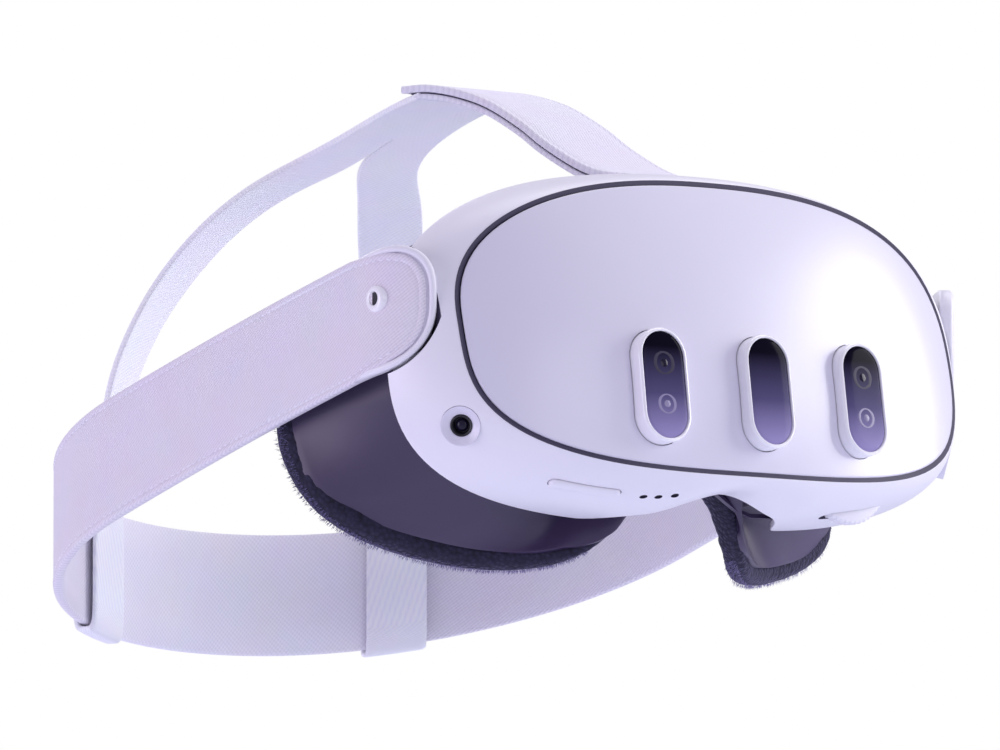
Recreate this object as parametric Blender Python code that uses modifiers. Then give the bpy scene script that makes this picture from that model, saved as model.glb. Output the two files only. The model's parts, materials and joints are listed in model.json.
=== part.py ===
"""A standalone VR headset: visor, lens mechanism, facial interface and fabric harness.

All driving sizes are millimetres in the visor's own frame: X runs to the wearer's left, Y from the
front of the visor to the back of the head, Z up, and the middle of the centre window is at zero.
An empty shifts that frame so that the origin lies in the middle of the object's underside.
"""
import math

import bmesh
import bpy
from mathutils import Matrix, Vector

MM = 0.001
GAP = 0.3                      # clearance between touching pieces

# Overall box in the visor frame, from which the origin at its bottom centre follows
FRONT_Y = -5.35
REAR_Y = 216.9
LOWEST_Z = -52.85

# Front panel: a shallow bowl that leans back, inside a rounded outline
PANEL_LEAN = 0.138
PANEL_BOW_X2 = 0.00162
PANEL_BOW_X4 = 2.18e-7
PANEL_BOW_Z2 = 0.00415
PANEL_THICKNESS = 1.2
SEAM = dict(half_width=77.7, centre_z=14.4, top=37.6, bottom=34.9, top_power=2.41, bottom_power=3.28)
SEAM_HALF_GAP = 0.65
GASKET_WIDTH = 2.4
GASKET_THICKNESS = 1.0

# Shell behind the seam
SHELL_THICKNESS = 1.5
SHELL_REAR = dict(half_width=89.3, centre_z=12.0, top=43.2, bottom=42.9, top_power=2.35, bottom_power=3.6)
SHELL_REAR_Y = 32.0
SHELL_SIDE_REAR_Y = 35.5
NOTCH_HALF_WIDTH = 21.0
NOTCH_HEIGHT = 8.5

# Sensor windows on the front panel
WINDOW_SPACING = 31.6
WINDOW_FRONT_Y = -3.3
WINDOW_SIDE_SETBACK = 1.9
WINDOW_SIDE_TURN = math.radians(3.5)
BEZEL_HALF_WIDTH = 7.65
BEZEL_HALF_HEIGHT = 15.0
BEZEL_RIM = 1.45
BEZEL_DEPTH = 7.0
GLASS_THICKNESS = 1.2
GLASS_SETBACK = 0.5
UPPER_CAMERA_Z = 5.3
LOWER_CAMERA_Z = -4.8
SIDE_CAMERA_POINT = (78.5, 19.8, -11.5)
SIDE_CAMERA_AXIS = (0.75, -0.61, -0.25)
SIDE_CAMERA_RADIUS = 4.8

# Internals, front to back
CHASSIS_Y = 10.2
CHASSIS_THICKNESS = 1.0
MAINBOARD_Y = 11.6
MAINBOARD_THICKNESS = 1.2
COOLING_Y = 13.2
FAN_CENTRE = (0.0, 24.0)
FAN_RADIUS = 12.6
FAN_DEPTH = 6.0
FAN_BLADES = 9

# Lens mechanism
LENS_SPACING = 32.0
LENS_Z = 11.0
BARREL_RADIUS = 24.0
BARREL_FRONT_Y = 21.5
BARREL_REAR_Y = 36.0
DISPLAY_Y = 20.0
DISPLAY_WIDTH = 36.0
DISPLAY_HEIGHT = 38.0
IPD_TRAVEL = 4.7
ROD_RADIUS = 1.1
ROD_OFFSET = 25.8
ROD_Y = 23.5
RACK_Y = 17.4
RACK_DEPTH = 2.2
PINION_RADIUS = 3.0
IPD_WHEEL_X = 40.0
IPD_WHEEL_Z = -17.6
IPD_WHEEL_RADIUS = 12.0
IPD_WHEEL_Y = 13.4
IPD_WHEEL_WIDTH = 3.6

# Rear cover and the skirt that slides inside the shell
REAR_COVER_Y = 26.0
REAR_COVER_THICKNESS = 1.5
SKIRT = dict(half_width=78.2, centre_z=12.0, top=38.9, bottom=38.6, top_power=2.25, bottom_power=3.3)
SKIRT_FRONT_Y = 26.0
SKIRT_REAR_Y = 42.0
FLARE_LENGTH = 5.5
SKIRT_NOTCH = 1.1
SKIRT_THICKNESS = 1.6
TRIM = dict(half_width=83.4, centre_z=12.0, top=40.3, bottom=40.0, top_power=2.3, bottom_power=3.5)
TRIM_NOTCH = 1.03
TRIM_Y = 29.0
TRIM_THICKNESS = 1.5

# Where the facial interface ends, from the middle of the forehead round to the nose bridge
FACE_RING = ((0, 40, 44), (30, 43, 43.5), (57, 51, 38), (76, 62, 25), (84.5, 72, 8), (85.5, 74, -8),
             (84, 70, -20.5), (78, 65, -30), (66, 60, -36.5), (50, 54, -40.5), (37.5, 46, -41.5),
             (28, 38, -38.5), (20.5, 35, -31.5), (12.5, 35, -22.5), (0, 36.5, -17))
CUSHION_DEPTH = 6.4
CUSHION_STANDOFF = 3.9
CUSHION_WIDTH = 8.0

# Harness: the loop round the head, seen from above, and its fall towards the back
LOOP_HALF_WIDTH = 92.9
LOOP_FRONT_WIDTH = 91.4
LOOP_SIDE_Y = 140.5
LOOP_DEPTH = 76.4
LOOP_POWER = 2.07
LOOP_PIVOT_Z = 16.96
LOOP_SLOPE = -0.2515
LOOP_SAG = -0.000277
BAND_HEIGHT = 29.9
BAND_HEIGHT_REAR = 31.2
BAND_THICKNESS = 3.0
ARM_TIP_Y = 24.0
ARM_BEND_Y = 42.0
ARM_BEND_IN = 9.0
ARM_END_Y = 78.0
ARM_THICKNESS = 4.6
PIVOT_Y = 37.0
PIVOT_Z = 18.5
PIVOT_RADIUS = 3.0
SEAT_CLEARANCE = 0.9
SPLICE_X = 48.5
SLEEVE_NEAR_X = 41.0
SLEEVE_FAR_X = 56.0
SLEEVE_WALL = 1.4

# Straps over the head
TOP_STRAP_WIDTH = 28.0
TOP_STRAP_THICKNESS = 1.6
TOP_STRAP_PATH = ((0, 38.8, 53), (0, 41, 56), (0, 47, 58), (0, 55, 61.4), (0, 66, 69), (0, 80, 76.5),
                  (0, 96, 81.8), (0, 112, 83.6), (0, 126, 82.6), (0, 138, 79))
TOP_STRAP_SPLIT = 0.26
CROWN_PATH = ((1, 145.5, 76.2), (-6, 152, 73.9), (-15, 157.5, 70.5), (-27, 165, 63), (-37.5, 172.5, 50),
              (-46, 178.5, 35), (-51, 184, 18), (-51.5, 190.5, 2), (-49, 196.5, -7), (-47, 199.5, -12.3))
CROWN_WIDTH = 21.0
HEAD_CENTRE = (0.0, 120.0, -10.0)

# Controls
ROCKER_POINT = (-45.5, 12.3, -26.6)
ROCKER_ALONG = (0.96, -0.25, -0.13)
ROCKER_OUT = (-0.05, -0.36, -0.93)
ROCKER_LENGTH = 19.0
ROCKER_WIDTH = 3.4
POWER_POINT = (85.0, 26.9, -4.5)
POWER_OUT = (0.87, -0.49, -0.05)
POWER_RADIUS = 3.0

COLOURS = {
    "satin_white": ((0.83, 0.82, 0.86), 0.38, 0.0),
    "gloss_white": ((0.88, 0.87, 0.90), 0.15, 0.0),
    "dark_plastic": ((0.075, 0.065, 0.12), 0.45, 0.0),
    "dark_foam": ((0.09, 0.085, 0.16), 0.95, 0.0),
    "seam_rubber": ((0.08, 0.065, 0.13), 0.6, 0.0),
    "window_glass": ((0.02, 0.018, 0.035), 0.06, 0.0),
    "lens_glass": ((0.75, 0.78, 0.82), 0.03, 0.0),
    "fabric": ((0.72, 0.69, 0.80), 0.9, 0.0),
    "metal": ((0.55, 0.56, 0.58), 0.35, 1.0),
    "board": ((0.02, 0.12, 0.08), 0.5, 0.0),
    "black": ((0.02, 0.02, 0.025), 0.4, 0.0),
}


def clear_scene():
    for obj in list(bpy.data.objects):
        bpy.data.objects.remove(obj)


def make_collection(name):
    collection = bpy.data.collections.new(name)
    bpy.context.scene.collection.children.link(collection)
    return collection


clear_scene()
PARTS = make_collection("vr_headset")
CUTTERS = make_collection("cutters")
FRAME = bpy.data.objects.new("visor_frame", None)
FRAME.location = (0.0, -MM * (FRONT_Y + REAR_Y) / 2, -MM * LOWEST_Z)
PARTS.objects.link(FRAME)


# ---------------------------------------------------------------- materials and object helpers

def material(slot):
    found = bpy.data.materials.get(slot)
    if found:
        return found
    colour, roughness, metallic = COLOURS[slot]
    made = bpy.data.materials.new(slot)
    made.use_nodes = True
    shader = made.node_tree.nodes["Principled BSDF"]
    shader.inputs["Base Color"].default_value = (*colour, 1.0)
    shader.inputs["Roughness"].default_value = roughness
    shader.inputs["Metallic"].default_value = metallic
    return made


def add_part(name, mesh, slot, pivot=(0, 0, 0)):
    """Link a mesh, drawn in visor millimetres turned to metres, with its origin at the pivot."""
    shift = Vector(pivot) * MM
    mesh.transform(Matrix.Translation(-shift))
    mesh.materials.append(material(slot))
    obj = bpy.data.objects.new(name, mesh)
    PARTS.objects.link(obj)
    obj.parent = FRAME
    obj.location = shift
    return obj


def smooth(obj, angle=35):
    obj.data.shade_smooth()
    obj.data.set_sharp_from_angle(angle=math.radians(angle))
    return obj


def mesh_from(points, faces, name="shape"):
    mesh = bpy.data.meshes.new(name)
    mesh.from_pydata([Vector(p) * MM for p in points], [], faces)
    return mesh


def outward(mesh):
    work = bmesh.new()
    work.from_mesh(mesh)
    bmesh.ops.recalc_face_normals(work, faces=work.faces)
    work.to_mesh(mesh)
    work.free()
    return mesh


def loft(rings, closed_path=False, capped=True):
    """A mesh through equal rings of points; open ends are capped, a closed path has none."""
    count = len(rings[0])
    points = [p for ring in rings for p in ring]
    faces = []
    last = len(rings) if closed_path else len(rings) - 1
    for i in range(last):
        a = i * count
        b = ((i + 1) % len(rings)) * count
        for j in range(count):
            k = (j + 1) % count
            faces.append((a + j, a + k, b + k, b + j))
    if capped and not closed_path:
        faces.append(tuple(range(count)))
        faces.append(tuple(range(len(points) - 1, len(points) - 1 - count, -1)))
    return outward(mesh_from(points, faces))


def box_mesh(low, high):
    work = bmesh.new()
    bmesh.ops.create_cube(work, size=1.0)
    low = Vector(low) * MM
    high = Vector(high) * MM
    size = high - low
    middle = (low + high) / 2
    place = Matrix.Translation(middle) @ Matrix.Diagonal((*size, 1.0))
    bmesh.ops.transform(work, matrix=place, verts=work.verts)
    mesh = bpy.data.meshes.new("box")
    work.to_mesh(mesh)
    work.free()
    return mesh


def aimed(direction, point=(0, 0, 0), along=(1, 0, 0)):
    """The matrix that turns +Z to a direction, +X near another, and moves to a point in mm."""
    z_axis = Vector(direction).normalized()
    y_axis = z_axis.cross(Vector(along)).normalized()
    x_axis = y_axis.cross(z_axis)
    turn = Matrix((x_axis, y_axis, z_axis)).transposed().to_4x4()
    return Matrix.Translation(Vector(point) * MM) @ turn


def cylinder_mesh(radius, start, end, segments=32, radius_end=None):
    """A cylinder or cone from one point to another, in mm."""
    axis = Vector(end) - Vector(start)
    middle = (Vector(start) + Vector(end)) / 2
    along = (1, 0, 0) if abs(axis.normalized().x) < 0.9 else (0, 1, 0)
    work = bmesh.new()
    tip = radius if radius_end is None else radius_end
    bmesh.ops.create_cone(work, cap_ends=True, segments=segments, radius1=radius * MM, radius2=tip * MM,
                          depth=axis.length * MM)
    bmesh.ops.transform(work, matrix=aimed(axis, middle, along), verts=work.verts)
    mesh = bpy.data.meshes.new("cylinder")
    work.to_mesh(mesh)
    work.free()
    return mesh


def stadium(half_width, half_height, segments=10):
    """A rounded slot outline, taller than it is wide."""
    straight = half_height - half_width
    points = []
    for side in (1, -1):
        for i in range(segments + 1):
            angle = math.pi * i / segments + (0 if side > 0 else math.pi)
            points.append((half_width * math.cos(angle), side * straight + half_width * math.sin(angle)))
    return points


def circle(radius, segments=32, centre=(0, 0)):
    turn = 2 * math.pi / segments
    return [(centre[0] + radius * math.cos(turn * i), centre[1] + radius * math.sin(turn * i))
            for i in range(segments)]


def plate_mesh(outlines, thickness):
    """A flat plate from outlines in its own plane: the first is the edge, the others are holes."""
    curve = bpy.data.curves.new("plate", "CURVE")
    curve.dimensions = "2D"
    curve.fill_mode = "BOTH"
    curve.extrude = thickness * MM / 2
    for outline in outlines:
        spline = curve.splines.new("POLY")
        spline.points.add(len(outline) - 1)
        for point, (x, y) in zip(spline.points, outline):
            point.co = (x * MM, y * MM, 0.0, 1.0)
        spline.use_cyclic_u = True
    obj = bpy.data.objects.new("plate", curve)
    PARTS.objects.link(obj)
    bpy.context.view_layer.update()
    mesh = bpy.data.meshes.new_from_object(obj.evaluated_get(bpy.context.evaluated_depsgraph_get()))
    bpy.data.objects.remove(obj)
    work = bmesh.new()
    work.from_mesh(mesh)
    bmesh.ops.remove_doubles(work, verts=work.verts, dist=1e-6)
    bmesh.ops.recalc_face_normals(work, faces=work.faces)
    work.to_mesh(mesh)
    work.free()
    mesh.materials.clear()
    return mesh


def upright_plate(outlines, front_y, thickness, x=0.0, z=0.0):
    """A plate that stands across the Y axis, its outlines given as X and Z."""
    mesh = plate_mesh(outlines, thickness)
    mesh.transform(Matrix.Translation(Vector((x, front_y + thickness / 2, z)) * MM)
                   @ Matrix.Rotation(math.radians(90), 4, "X"))
    return mesh


def turned(name, profile, slot, point, axis, segments=32, pivot=None):
    """A turned piece: radius and height pairs, from the top of its outer side down."""
    mesh = bpy.data.meshes.new(name)
    points = [Vector((radius, 0, height)) * MM for radius, height in profile]
    edges = [(i, i + 1) for i in range(len(points) - 1)]
    if profile[0][0] > 0 and profile[-1][0] > 0:
        edges.append((len(points) - 1, 0))
    mesh.from_pydata(points, edges, [])
    mesh.materials.append(material(slot))
    obj = bpy.data.objects.new(name, mesh)
    PARTS.objects.link(obj)
    obj.parent = FRAME
    along = (1, 0, 0) if abs(Vector(axis).normalized().x) < 0.9 else (0, 1, 0)
    obj.matrix_local = aimed(axis, point, along)
    screw = obj.modifiers.new("turn", "SCREW")
    screw.steps = segments
    screw.render_steps = segments
    screw.use_merge_vertices = True
    screw.merge_threshold = 0.00001
    screw.use_smooth_shade = True
    return obj


def cutter(name, mesh):
    obj = bpy.data.objects.new(name, mesh)
    CUTTERS.objects.link(obj)
    obj.parent = FRAME
    obj.hide_render = True
    obj.display_type = "WIRE"
    return obj


def cut(obj, tool, operation="DIFFERENCE"):
    boolean = obj.modifiers.new(tool.name, "BOOLEAN")
    boolean.operation = operation
    boolean.solver = "EXACT"
    boolean.object = tool
    return obj


def solidify(obj, thickness, even=True):
    thick = obj.modifiers.new("wall", "SOLIDIFY")
    thick.thickness = thickness * MM
    thick.offset = -1.0
    thick.use_even_offset = even
    return obj


def bevel(obj, width, segments=2):
    edge = obj.modifiers.new("edge", "BEVEL")
    edge.width = width * MM
    edge.segments = segments
    edge.limit_method = "ANGLE"
    edge.angle_limit = math.radians(40)
    return obj


# ---------------------------------------------------------------- outlines and surfaces

def panel_y(x, z):
    return PANEL_LEAN * z + PANEL_BOW_X2 * x ** 2 + PANEL_BOW_X4 * x ** 4 + PANEL_BOW_Z2 * z ** 2


def outline_radius(angle, half_width, top, bottom, top_power, bottom_power, inset=0.0, **_):
    height, power = (top, top_power) if math.sin(angle) >= 0 else (bottom, bottom_power)
    across = abs(math.cos(angle) / (half_width - inset)) ** power
    up = abs(math.sin(angle) / (height - inset)) ** power
    return (across + up) ** (-1.0 / power)


def outline_point(angle, shape, inset=0.0):
    radius = outline_radius(angle, inset=inset, **shape)
    return radius * math.cos(angle), shape["centre_z"] + radius * math.sin(angle)


def angles(count):
    """Evenly spaced angles round an outline, none of them on an axis."""
    return [2 * math.pi * (i + 0.5) / count for i in range(count)]


def notch(x, depth_share):
    reach = min(abs(x) / NOTCH_HALF_WIDTH, 1.0)
    return NOTCH_HEIGHT * depth_share * (1.0 - reach ** 2) ** 2


def flat_outline(shape, inset=0.0, count=56, notch_share=0.0):
    points = []
    for angle in angles(count):
        x, z = outline_point(angle, shape, inset)
        if math.sin(angle) < 0:
            z += notch(x, notch_share)
        points.append((x, z))
    return points


def shell_point(angle, share):
    """A point on the shell: share runs from 0 at the seam to 1 at the rear edge."""
    x0, z0 = outline_point(angle, SEAM, -SEAM_HALF_GAP)
    x2, z2 = outline_point(angle, SHELL_REAR)
    side = math.cos(angle) ** 2
    below = max(-math.sin(angle), 0.0)
    y0 = panel_y(x0, z0)
    y2 = SHELL_REAR_Y + (SHELL_SIDE_REAR_Y - SHELL_REAR_Y) * side
    out = 0.82 + 0.10 * below - 0.10 * side
    back = 0.14 + 0.25 * side
    x1 = x0 + out * (x2 - x0)
    z1 = z0 + out * (z2 - z0)
    y1 = y0 + back * (y2 - y0)
    a, b, c = (1 - share) ** 2, 2 * share * (1 - share), share ** 2
    x = a * x0 + b * x1 + c * x2
    z = a * z0 + b * z1 + c * z2
    if math.sin(angle) < 0:
        z += notch(x, share ** 1.3)
    return x, a * y0 + b * y1 + c * y2, z


def spline_points(controls, count):
    """Points along a smooth curve through the controls, evenly spaced in the curve's parameter."""
    controls = [Vector(c) for c in controls]
    ends = [2 * controls[0] - controls[1]] + controls + [2 * controls[-1] - controls[-2]]
    spans = len(controls) - 1
    points = []
    for i in range(count):
        place = spans * i / (count - 1)
        k = min(int(place), spans - 1)
        t = place - k
        a, b, c, d = ends[k:k + 4]
        points.append(0.5 * (2 * b + (c - a) * t + (2 * a - 5 * b + 4 * c - d) * t ** 2
                             + (3 * b - 3 * c + d - a) * t ** 3))
    return points


def face_ring(count_half=28):
    """The closed edge of the facial interface, by mirroring its half."""
    half = spline_points(FACE_RING, count_half)
    other = [Vector((-p.x, p.y, p.z)) for p in half[-2:0:-1]]
    return half + other


def band_z(y):
    back = y - PIVOT_Y
    return LOOP_PIVOT_Z + LOOP_SLOPE * back + LOOP_SAG * back ** 2


def band_height(y):
    share = min(max((y - PIVOT_Y) / 180.0, 0.0), 1.0)
    return BAND_HEIGHT + (BAND_HEIGHT_REAR - BAND_HEIGHT) * share


def arm_x(y):
    """How far the harness's outer face stands from the middle plane, beside the head."""
    lead = max(ARM_BEND_Y - y, 0.0) / (ARM_BEND_Y - ARM_TIP_Y)
    run = max(y - ARM_BEND_Y, 0.0) / (LOOP_SIDE_Y - ARM_BEND_Y)
    return LOOP_FRONT_WIDTH - ARM_BEND_IN * lead ** 2 + (LOOP_HALF_WIDTH - LOOP_FRONT_WIDTH) * run


def rear_y(x):
    return LOOP_SIDE_Y + LOOP_DEPTH * (1 - (abs(x) / LOOP_HALF_WIDTH) ** LOOP_POWER) ** (1 / LOOP_POWER)


def arm_half_height(y):
    if y >= PIVOT_Y:
        return band_height(y) / 2
    reach = (PIVOT_Y - y) / (PIVOT_Y - ARM_TIP_Y)
    return band_height(y) / 2 * max(1 - reach ** 2.2, 0.0) ** (1 / 2.2)


def band_section(point, inward, half_height, thickness):
    """A flat band's cross-section: outer face first, then the inner one."""
    x, y, z = point
    ix, iy = inward
    inner = (x + ix * thickness, y + iy * thickness)
    return [(x, y, z - half_height), (x, y, z + half_height),
            (inner[0], inner[1], z + half_height), (inner[0], inner[1], z - half_height)]


def rear_normal(x):
    """The horizontal direction from the rear loop towards the head."""
    step = 0.5
    slope = (rear_y(abs(x) + step) - rear_y(abs(x) - step)) / (2 * step)
    side = 1 if x >= 0 else -1
    length = math.hypot(slope, 1.0)
    return side * slope / length, -1.0 / length


# ---------------------------------------------------------------- visor

def window_matrix(side):
    """Where a window's own plane stands: side is -1, 0 or 1 along X."""
    y = WINDOW_FRONT_Y + abs(side) * WINDOW_SIDE_SETBACK
    place = Matrix.Translation(Vector((side * WINDOW_SPACING, y, 0.0)) * MM)
    lean = Matrix.Rotation(-math.atan(PANEL_LEAN), 4, "X")
    turn = Matrix.Rotation(side * WINDOW_SIDE_TURN, 4, "Z")
    return place @ turn @ lean @ Matrix.Rotation(math.radians(90), 4, "X")


def make_front_panel():
    rings = []
    for share in (0.12, 0.32, 0.52, 0.72, 0.88, 1.0):
        ring = []
        for angle in angles(56):
            x, z = outline_point(angle, SEAM, SEAM_HALF_GAP)
            x = x * share
            z = SEAM["centre_z"] + (z - SEAM["centre_z"]) * share
            ring.append((x, panel_y(x, z), z))
        rings.append(ring)
    mesh = loft(rings, capped=False)
    work = bmesh.new()
    work.from_mesh(mesh)
    work.verts.ensure_lookup_table()
    work.faces.new(work.verts[:56])
    bmesh.ops.recalc_face_normals(work, faces=work.faces)
    work.faces.ensure_lookup_table()
    if work.faces[0].normal.y > 0:
        bmesh.ops.reverse_faces(work, faces=work.faces)
    work.to_mesh(mesh)
    work.free()
    panel = add_part("front_panel", mesh, "satin_white")
    solidify(panel, PANEL_THICKNESS)
    for side in (-1, 0, 1):
        hole = plate_mesh([stadium(BEZEL_HALF_WIDTH + GAP, BEZEL_HALF_HEIGHT + GAP)], 24)
        hole.transform(window_matrix(side))
        cut(panel, cutter(f"window_hole_{side + 1}", hole))
    return smooth(panel)


def make_gasket():
    rings = []
    for angle in angles(56):
        inner = outline_point(angle, SEAM, SEAM_HALF_GAP + GASKET_WIDTH)
        outer = outline_point(angle, SEAM, SEAM_HALF_GAP + GAP)
        near = panel_y(*outline_point(angle, SEAM)) + PANEL_THICKNESS + GAP
        far = near + GASKET_THICKNESS
        rings.append([(inner[0], near, inner[1]), (outer[0], near, outer[1]),
                      (outer[0], far, outer[1]), (inner[0], far, inner[1])])
    add_part("panel_gasket", loft(rings, closed_path=True), "seam_rubber")


def seat_cutter(name, side, clearance):
    """The rounded space that an arm's end swings in, as a solid through one side of the shell."""
    outline = []
    steps = 12
    for sign in (1, -1):
        for i in range(steps + 1):
            turn = math.radians(90) * i / steps
            share = math.sin(turn) if sign > 0 else math.cos(turn)
            y = PIVOT_Y - (PIVOT_Y - ARM_TIP_Y) * share
            half = arm_half_height(y) if share < 1 else 0.0
            z = band_z(y) + sign * half
            away = Vector((y - PIVOT_Y, z - band_z(PIVOT_Y)))
            away = away.normalized() * (away.length + clearance)
            outline.append((PIVOT_Y + away.x, band_z(PIVOT_Y) + away.y))
    outline.append((PIVOT_Y + 12, band_z(PIVOT_Y) - BAND_HEIGHT / 2 - clearance - 4))
    outline.append((PIVOT_Y + 12, band_z(PIVOT_Y) + BAND_HEIGHT / 2 + clearance))
    ring_in = [(side * 79.6, y, z) for y, z in outline]
    ring_out = [(side * 104.0, y, z) for y, z in outline]
    return cutter(name, loft([ring_in, ring_out]))


def make_shell(seats):
    shares = (0.0, 0.12, 0.28, 0.46, 0.64, 0.82, 1.0)
    rings = [[shell_point(angle, share) for angle in angles(72)] for share in shares]
    mesh = loft(rings, capped=False)
    work = bmesh.new()
    work.from_mesh(mesh)
    work.faces.ensure_lookup_table()
    sample = work.faces[0]
    if sample.normal.dot(sample.calc_center_median() - Vector((0, 0.03, 0.012))) < 0:
        bmesh.ops.reverse_faces(work, faces=work.faces)
    work.to_mesh(mesh)
    work.free()
    shell = add_part("main_shell", mesh, "satin_white")
    solidify(shell, SHELL_THICKNESS)
    for seat in seats:
        cut(shell, seat)
    for side, name in ((-1, "right"), (1, "left")):
        point = Vector((side * SIDE_CAMERA_POINT[0], *SIDE_CAMERA_POINT[1:]))
        axis = Vector((side * SIDE_CAMERA_AXIS[0], *SIDE_CAMERA_AXIS[1:])).normalized()
        hole = cylinder_mesh(SIDE_CAMERA_RADIUS + GAP, point - axis * 8, point + axis * 8)
        cut(shell, cutter(f"{name}_camera_hole", hole))
    rocker_hole = plate_mesh([stadium(ROCKER_WIDTH / 2 + 0.35, ROCKER_LENGTH / 2 + 0.35)], 10)
    rocker_hole.transform(rocker_matrix())
    cut(shell, cutter("rocker_hole", rocker_hole))
    out = Vector(POWER_OUT).normalized()
    centre = Vector(POWER_POINT)
    power_hole = cylinder_mesh(POWER_RADIUS + GAP, centre - out * 8, centre + out * 8)
    cut(shell, cutter("power_hole", power_hole))
    slot = box_mesh((IPD_WHEEL_X - 10.5, IPD_WHEEL_Y - 0.6, -34),
                    (IPD_WHEEL_X + 10.5, IPD_WHEEL_Y + IPD_WHEEL_WIDTH + 0.6, -23))
    cut(shell, cutter("wheel_slot", slot))
    return smooth(shell)


def make_windows():
    names = ("right", "centre", "left")
    for side, name in zip((-1, 0, 1), names):
        ring = plate_mesh([stadium(BEZEL_HALF_WIDTH, BEZEL_HALF_HEIGHT),
                           stadium(BEZEL_HALF_WIDTH - BEZEL_RIM, BEZEL_HALF_HEIGHT - BEZEL_RIM)], BEZEL_DEPTH)
        ring.transform(window_matrix(side) @ Matrix.Translation((0, 0, -BEZEL_DEPTH / 2 * MM)))
        add_part(f"{name}_bezel", ring, "gloss_white")
        inset = BEZEL_RIM + GAP
        glass = plate_mesh([stadium(BEZEL_HALF_WIDTH - inset, BEZEL_HALF_HEIGHT - inset)], GLASS_THICKNESS)
        back = GLASS_SETBACK + GLASS_THICKNESS / 2
        glass.transform(window_matrix(side) @ Matrix.Translation((0, 0, -back * MM)))
        add_part(f"{name}_window", glass, "window_glass")


def window_point(side, z, depth):
    return window_matrix(side) @ (Vector((0, z, -depth)) * MM) / MM


def make_window_cameras():
    first = GLASS_SETBACK + GLASS_THICKNESS + 0.4
    for side, name in ((-1, "right"), (1, "left")):
        out = window_point(side, 0, 0) - window_point(side, 0, 10)
        upper = ((0.0, 0.6), (2.2, 0.6), (2.4, 0.0), (3.6, -0.6), (3.6, -7.2), (0.0, -7.2))
        lower = ((0.0, 0.4), (1.7, 0.4), (1.9, 0.0), (2.8, -0.5), (2.8, -6.4), (0.0, -6.4))
        upper_point = window_point(side, UPPER_CAMERA_Z, first + 0.7)
        lower_point = window_point(side, LOWER_CAMERA_Z, first + 0.6)
        turned(f"{name}_colour_camera", upper, "black", upper_point, out, 24)
        turned(f"{name}_tracking_camera", lower, "black", lower_point, out, 20)
    body = box_mesh((-4.6, -9.0, -6.6), (4.6, 9.0, 0.0))
    body.transform(window_matrix(0) @ Matrix.Translation((0, 0, -first * MM)))
    bevel(add_part("depth_sensor", body, "black"), 0.8)


def make_side_cameras():
    profile = ((0.0, -1.1), (2.3, -1.4), (2.5, -0.7), (4.3, 0.35), (4.8, 0.1), (4.8, -3.0), (3.4, -3.0),
               (3.4, -4.4), (0.0, -4.4))
    for side, name in ((-1, "right"), (1, "left")):
        point = (side * SIDE_CAMERA_POINT[0], *SIDE_CAMERA_POINT[1:])
        axis = (side * SIDE_CAMERA_AXIS[0], *SIDE_CAMERA_AXIS[1:])
        turned(f"{name}_side_camera", profile, "black", point, axis, 28)


def rocker_matrix():
    return aimed(ROCKER_OUT, ROCKER_POINT, ROCKER_ALONG) @ Matrix.Rotation(math.radians(90), 4, "Z")


def make_controls():
    mesh = plate_mesh([stadium(ROCKER_WIDTH / 2, ROCKER_LENGTH / 2, 8)], 2.6)
    mesh.transform(rocker_matrix())
    bevel(add_part("volume_rocker", mesh, "satin_white", ROCKER_POINT), 0.4)
    out = Vector(POWER_OUT).normalized()
    point = Vector(POWER_POINT)
    button = cylinder_mesh(POWER_RADIUS, point - out * 1.5, point + out * 0.5, 28)
    bevel(add_part("power_button", button, "satin_white", POWER_POINT), 0.3)


def make_internals():
    chassis = dict(half_width=50.0, centre_z=3.0, top=19.0, bottom=19.0, top_power=2.4, bottom_power=2.5)
    board = dict(half_width=49.0, centre_z=4.0, top=19.0, bottom=17.0, top_power=2.5, bottom_power=2.6)
    mesh = upright_plate([flat_outline(chassis, count=40)], CHASSIS_Y, CHASSIS_THICKNESS)
    add_part("chassis", mesh, "metal")
    mesh = upright_plate([flat_outline(board, count=40)], MAINBOARD_Y, MAINBOARD_THICKNESS)
    add_part("mainboard", mesh, "board")
    add_part("battery", box_mesh((-44, COOLING_Y, -2), (-15.5, COOLING_Y + 5.6, 23)), "black")
    bevel(bpy.data.objects["battery"], 1.0)
    fins = 6
    pitch = 24.0 / fins
    comb = [(-12.0, 0.0), (12.0, 0.0)]
    for i in range(fins):
        x = 12.0 - i * pitch
        comb += [(x, 5.4), (x - pitch * 0.45, 5.4), (x - pitch * 0.45, 1.4), (x - pitch, 1.4)]
    comb[-1] = (-12.0, 1.4)
    sink = plate_mesh([comb], 16)
    sink.transform(Matrix.Translation(Vector((0, COOLING_Y, 1.0)) * MM))
    add_part("heat_sink", sink, "metal")


def make_fan():
    x, z = FAN_CENTRE
    point = (x, COOLING_Y, z)
    housing = ((FAN_RADIUS, FAN_DEPTH), (FAN_RADIUS, 0.0), (0.0, 0.0), (0.0, 0.8), (FAN_RADIUS - 0.9, 0.8),
               (FAN_RADIUS - 0.9, FAN_DEPTH))
    mesh = closed_turn(housing, point, (0, 1, 0), 36)
    add_part("fan_housing", mesh, "black")
    hub = cylinder_mesh(4.2, (x, COOLING_Y + 1.2, z), (x, COOLING_Y + 5.4, z), 24)
    fan = add_part("fan_impeller", hub, "dark_plastic", (x, COOLING_Y, z))
    for i in range(FAN_BLADES):
        angle = 2 * math.pi * i / FAN_BLADES
        blade = box_mesh((3.6, COOLING_Y + 1.6, -0.45), (10.8, COOLING_Y + 5.0, 0.45))
        blade.transform(Matrix.Translation(Vector((x, 0, z)) * MM) @ Matrix.Rotation(angle, 4, "Y"))
        cut(fan, cutter(f"blade_{i}", blade), "UNION")


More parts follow.
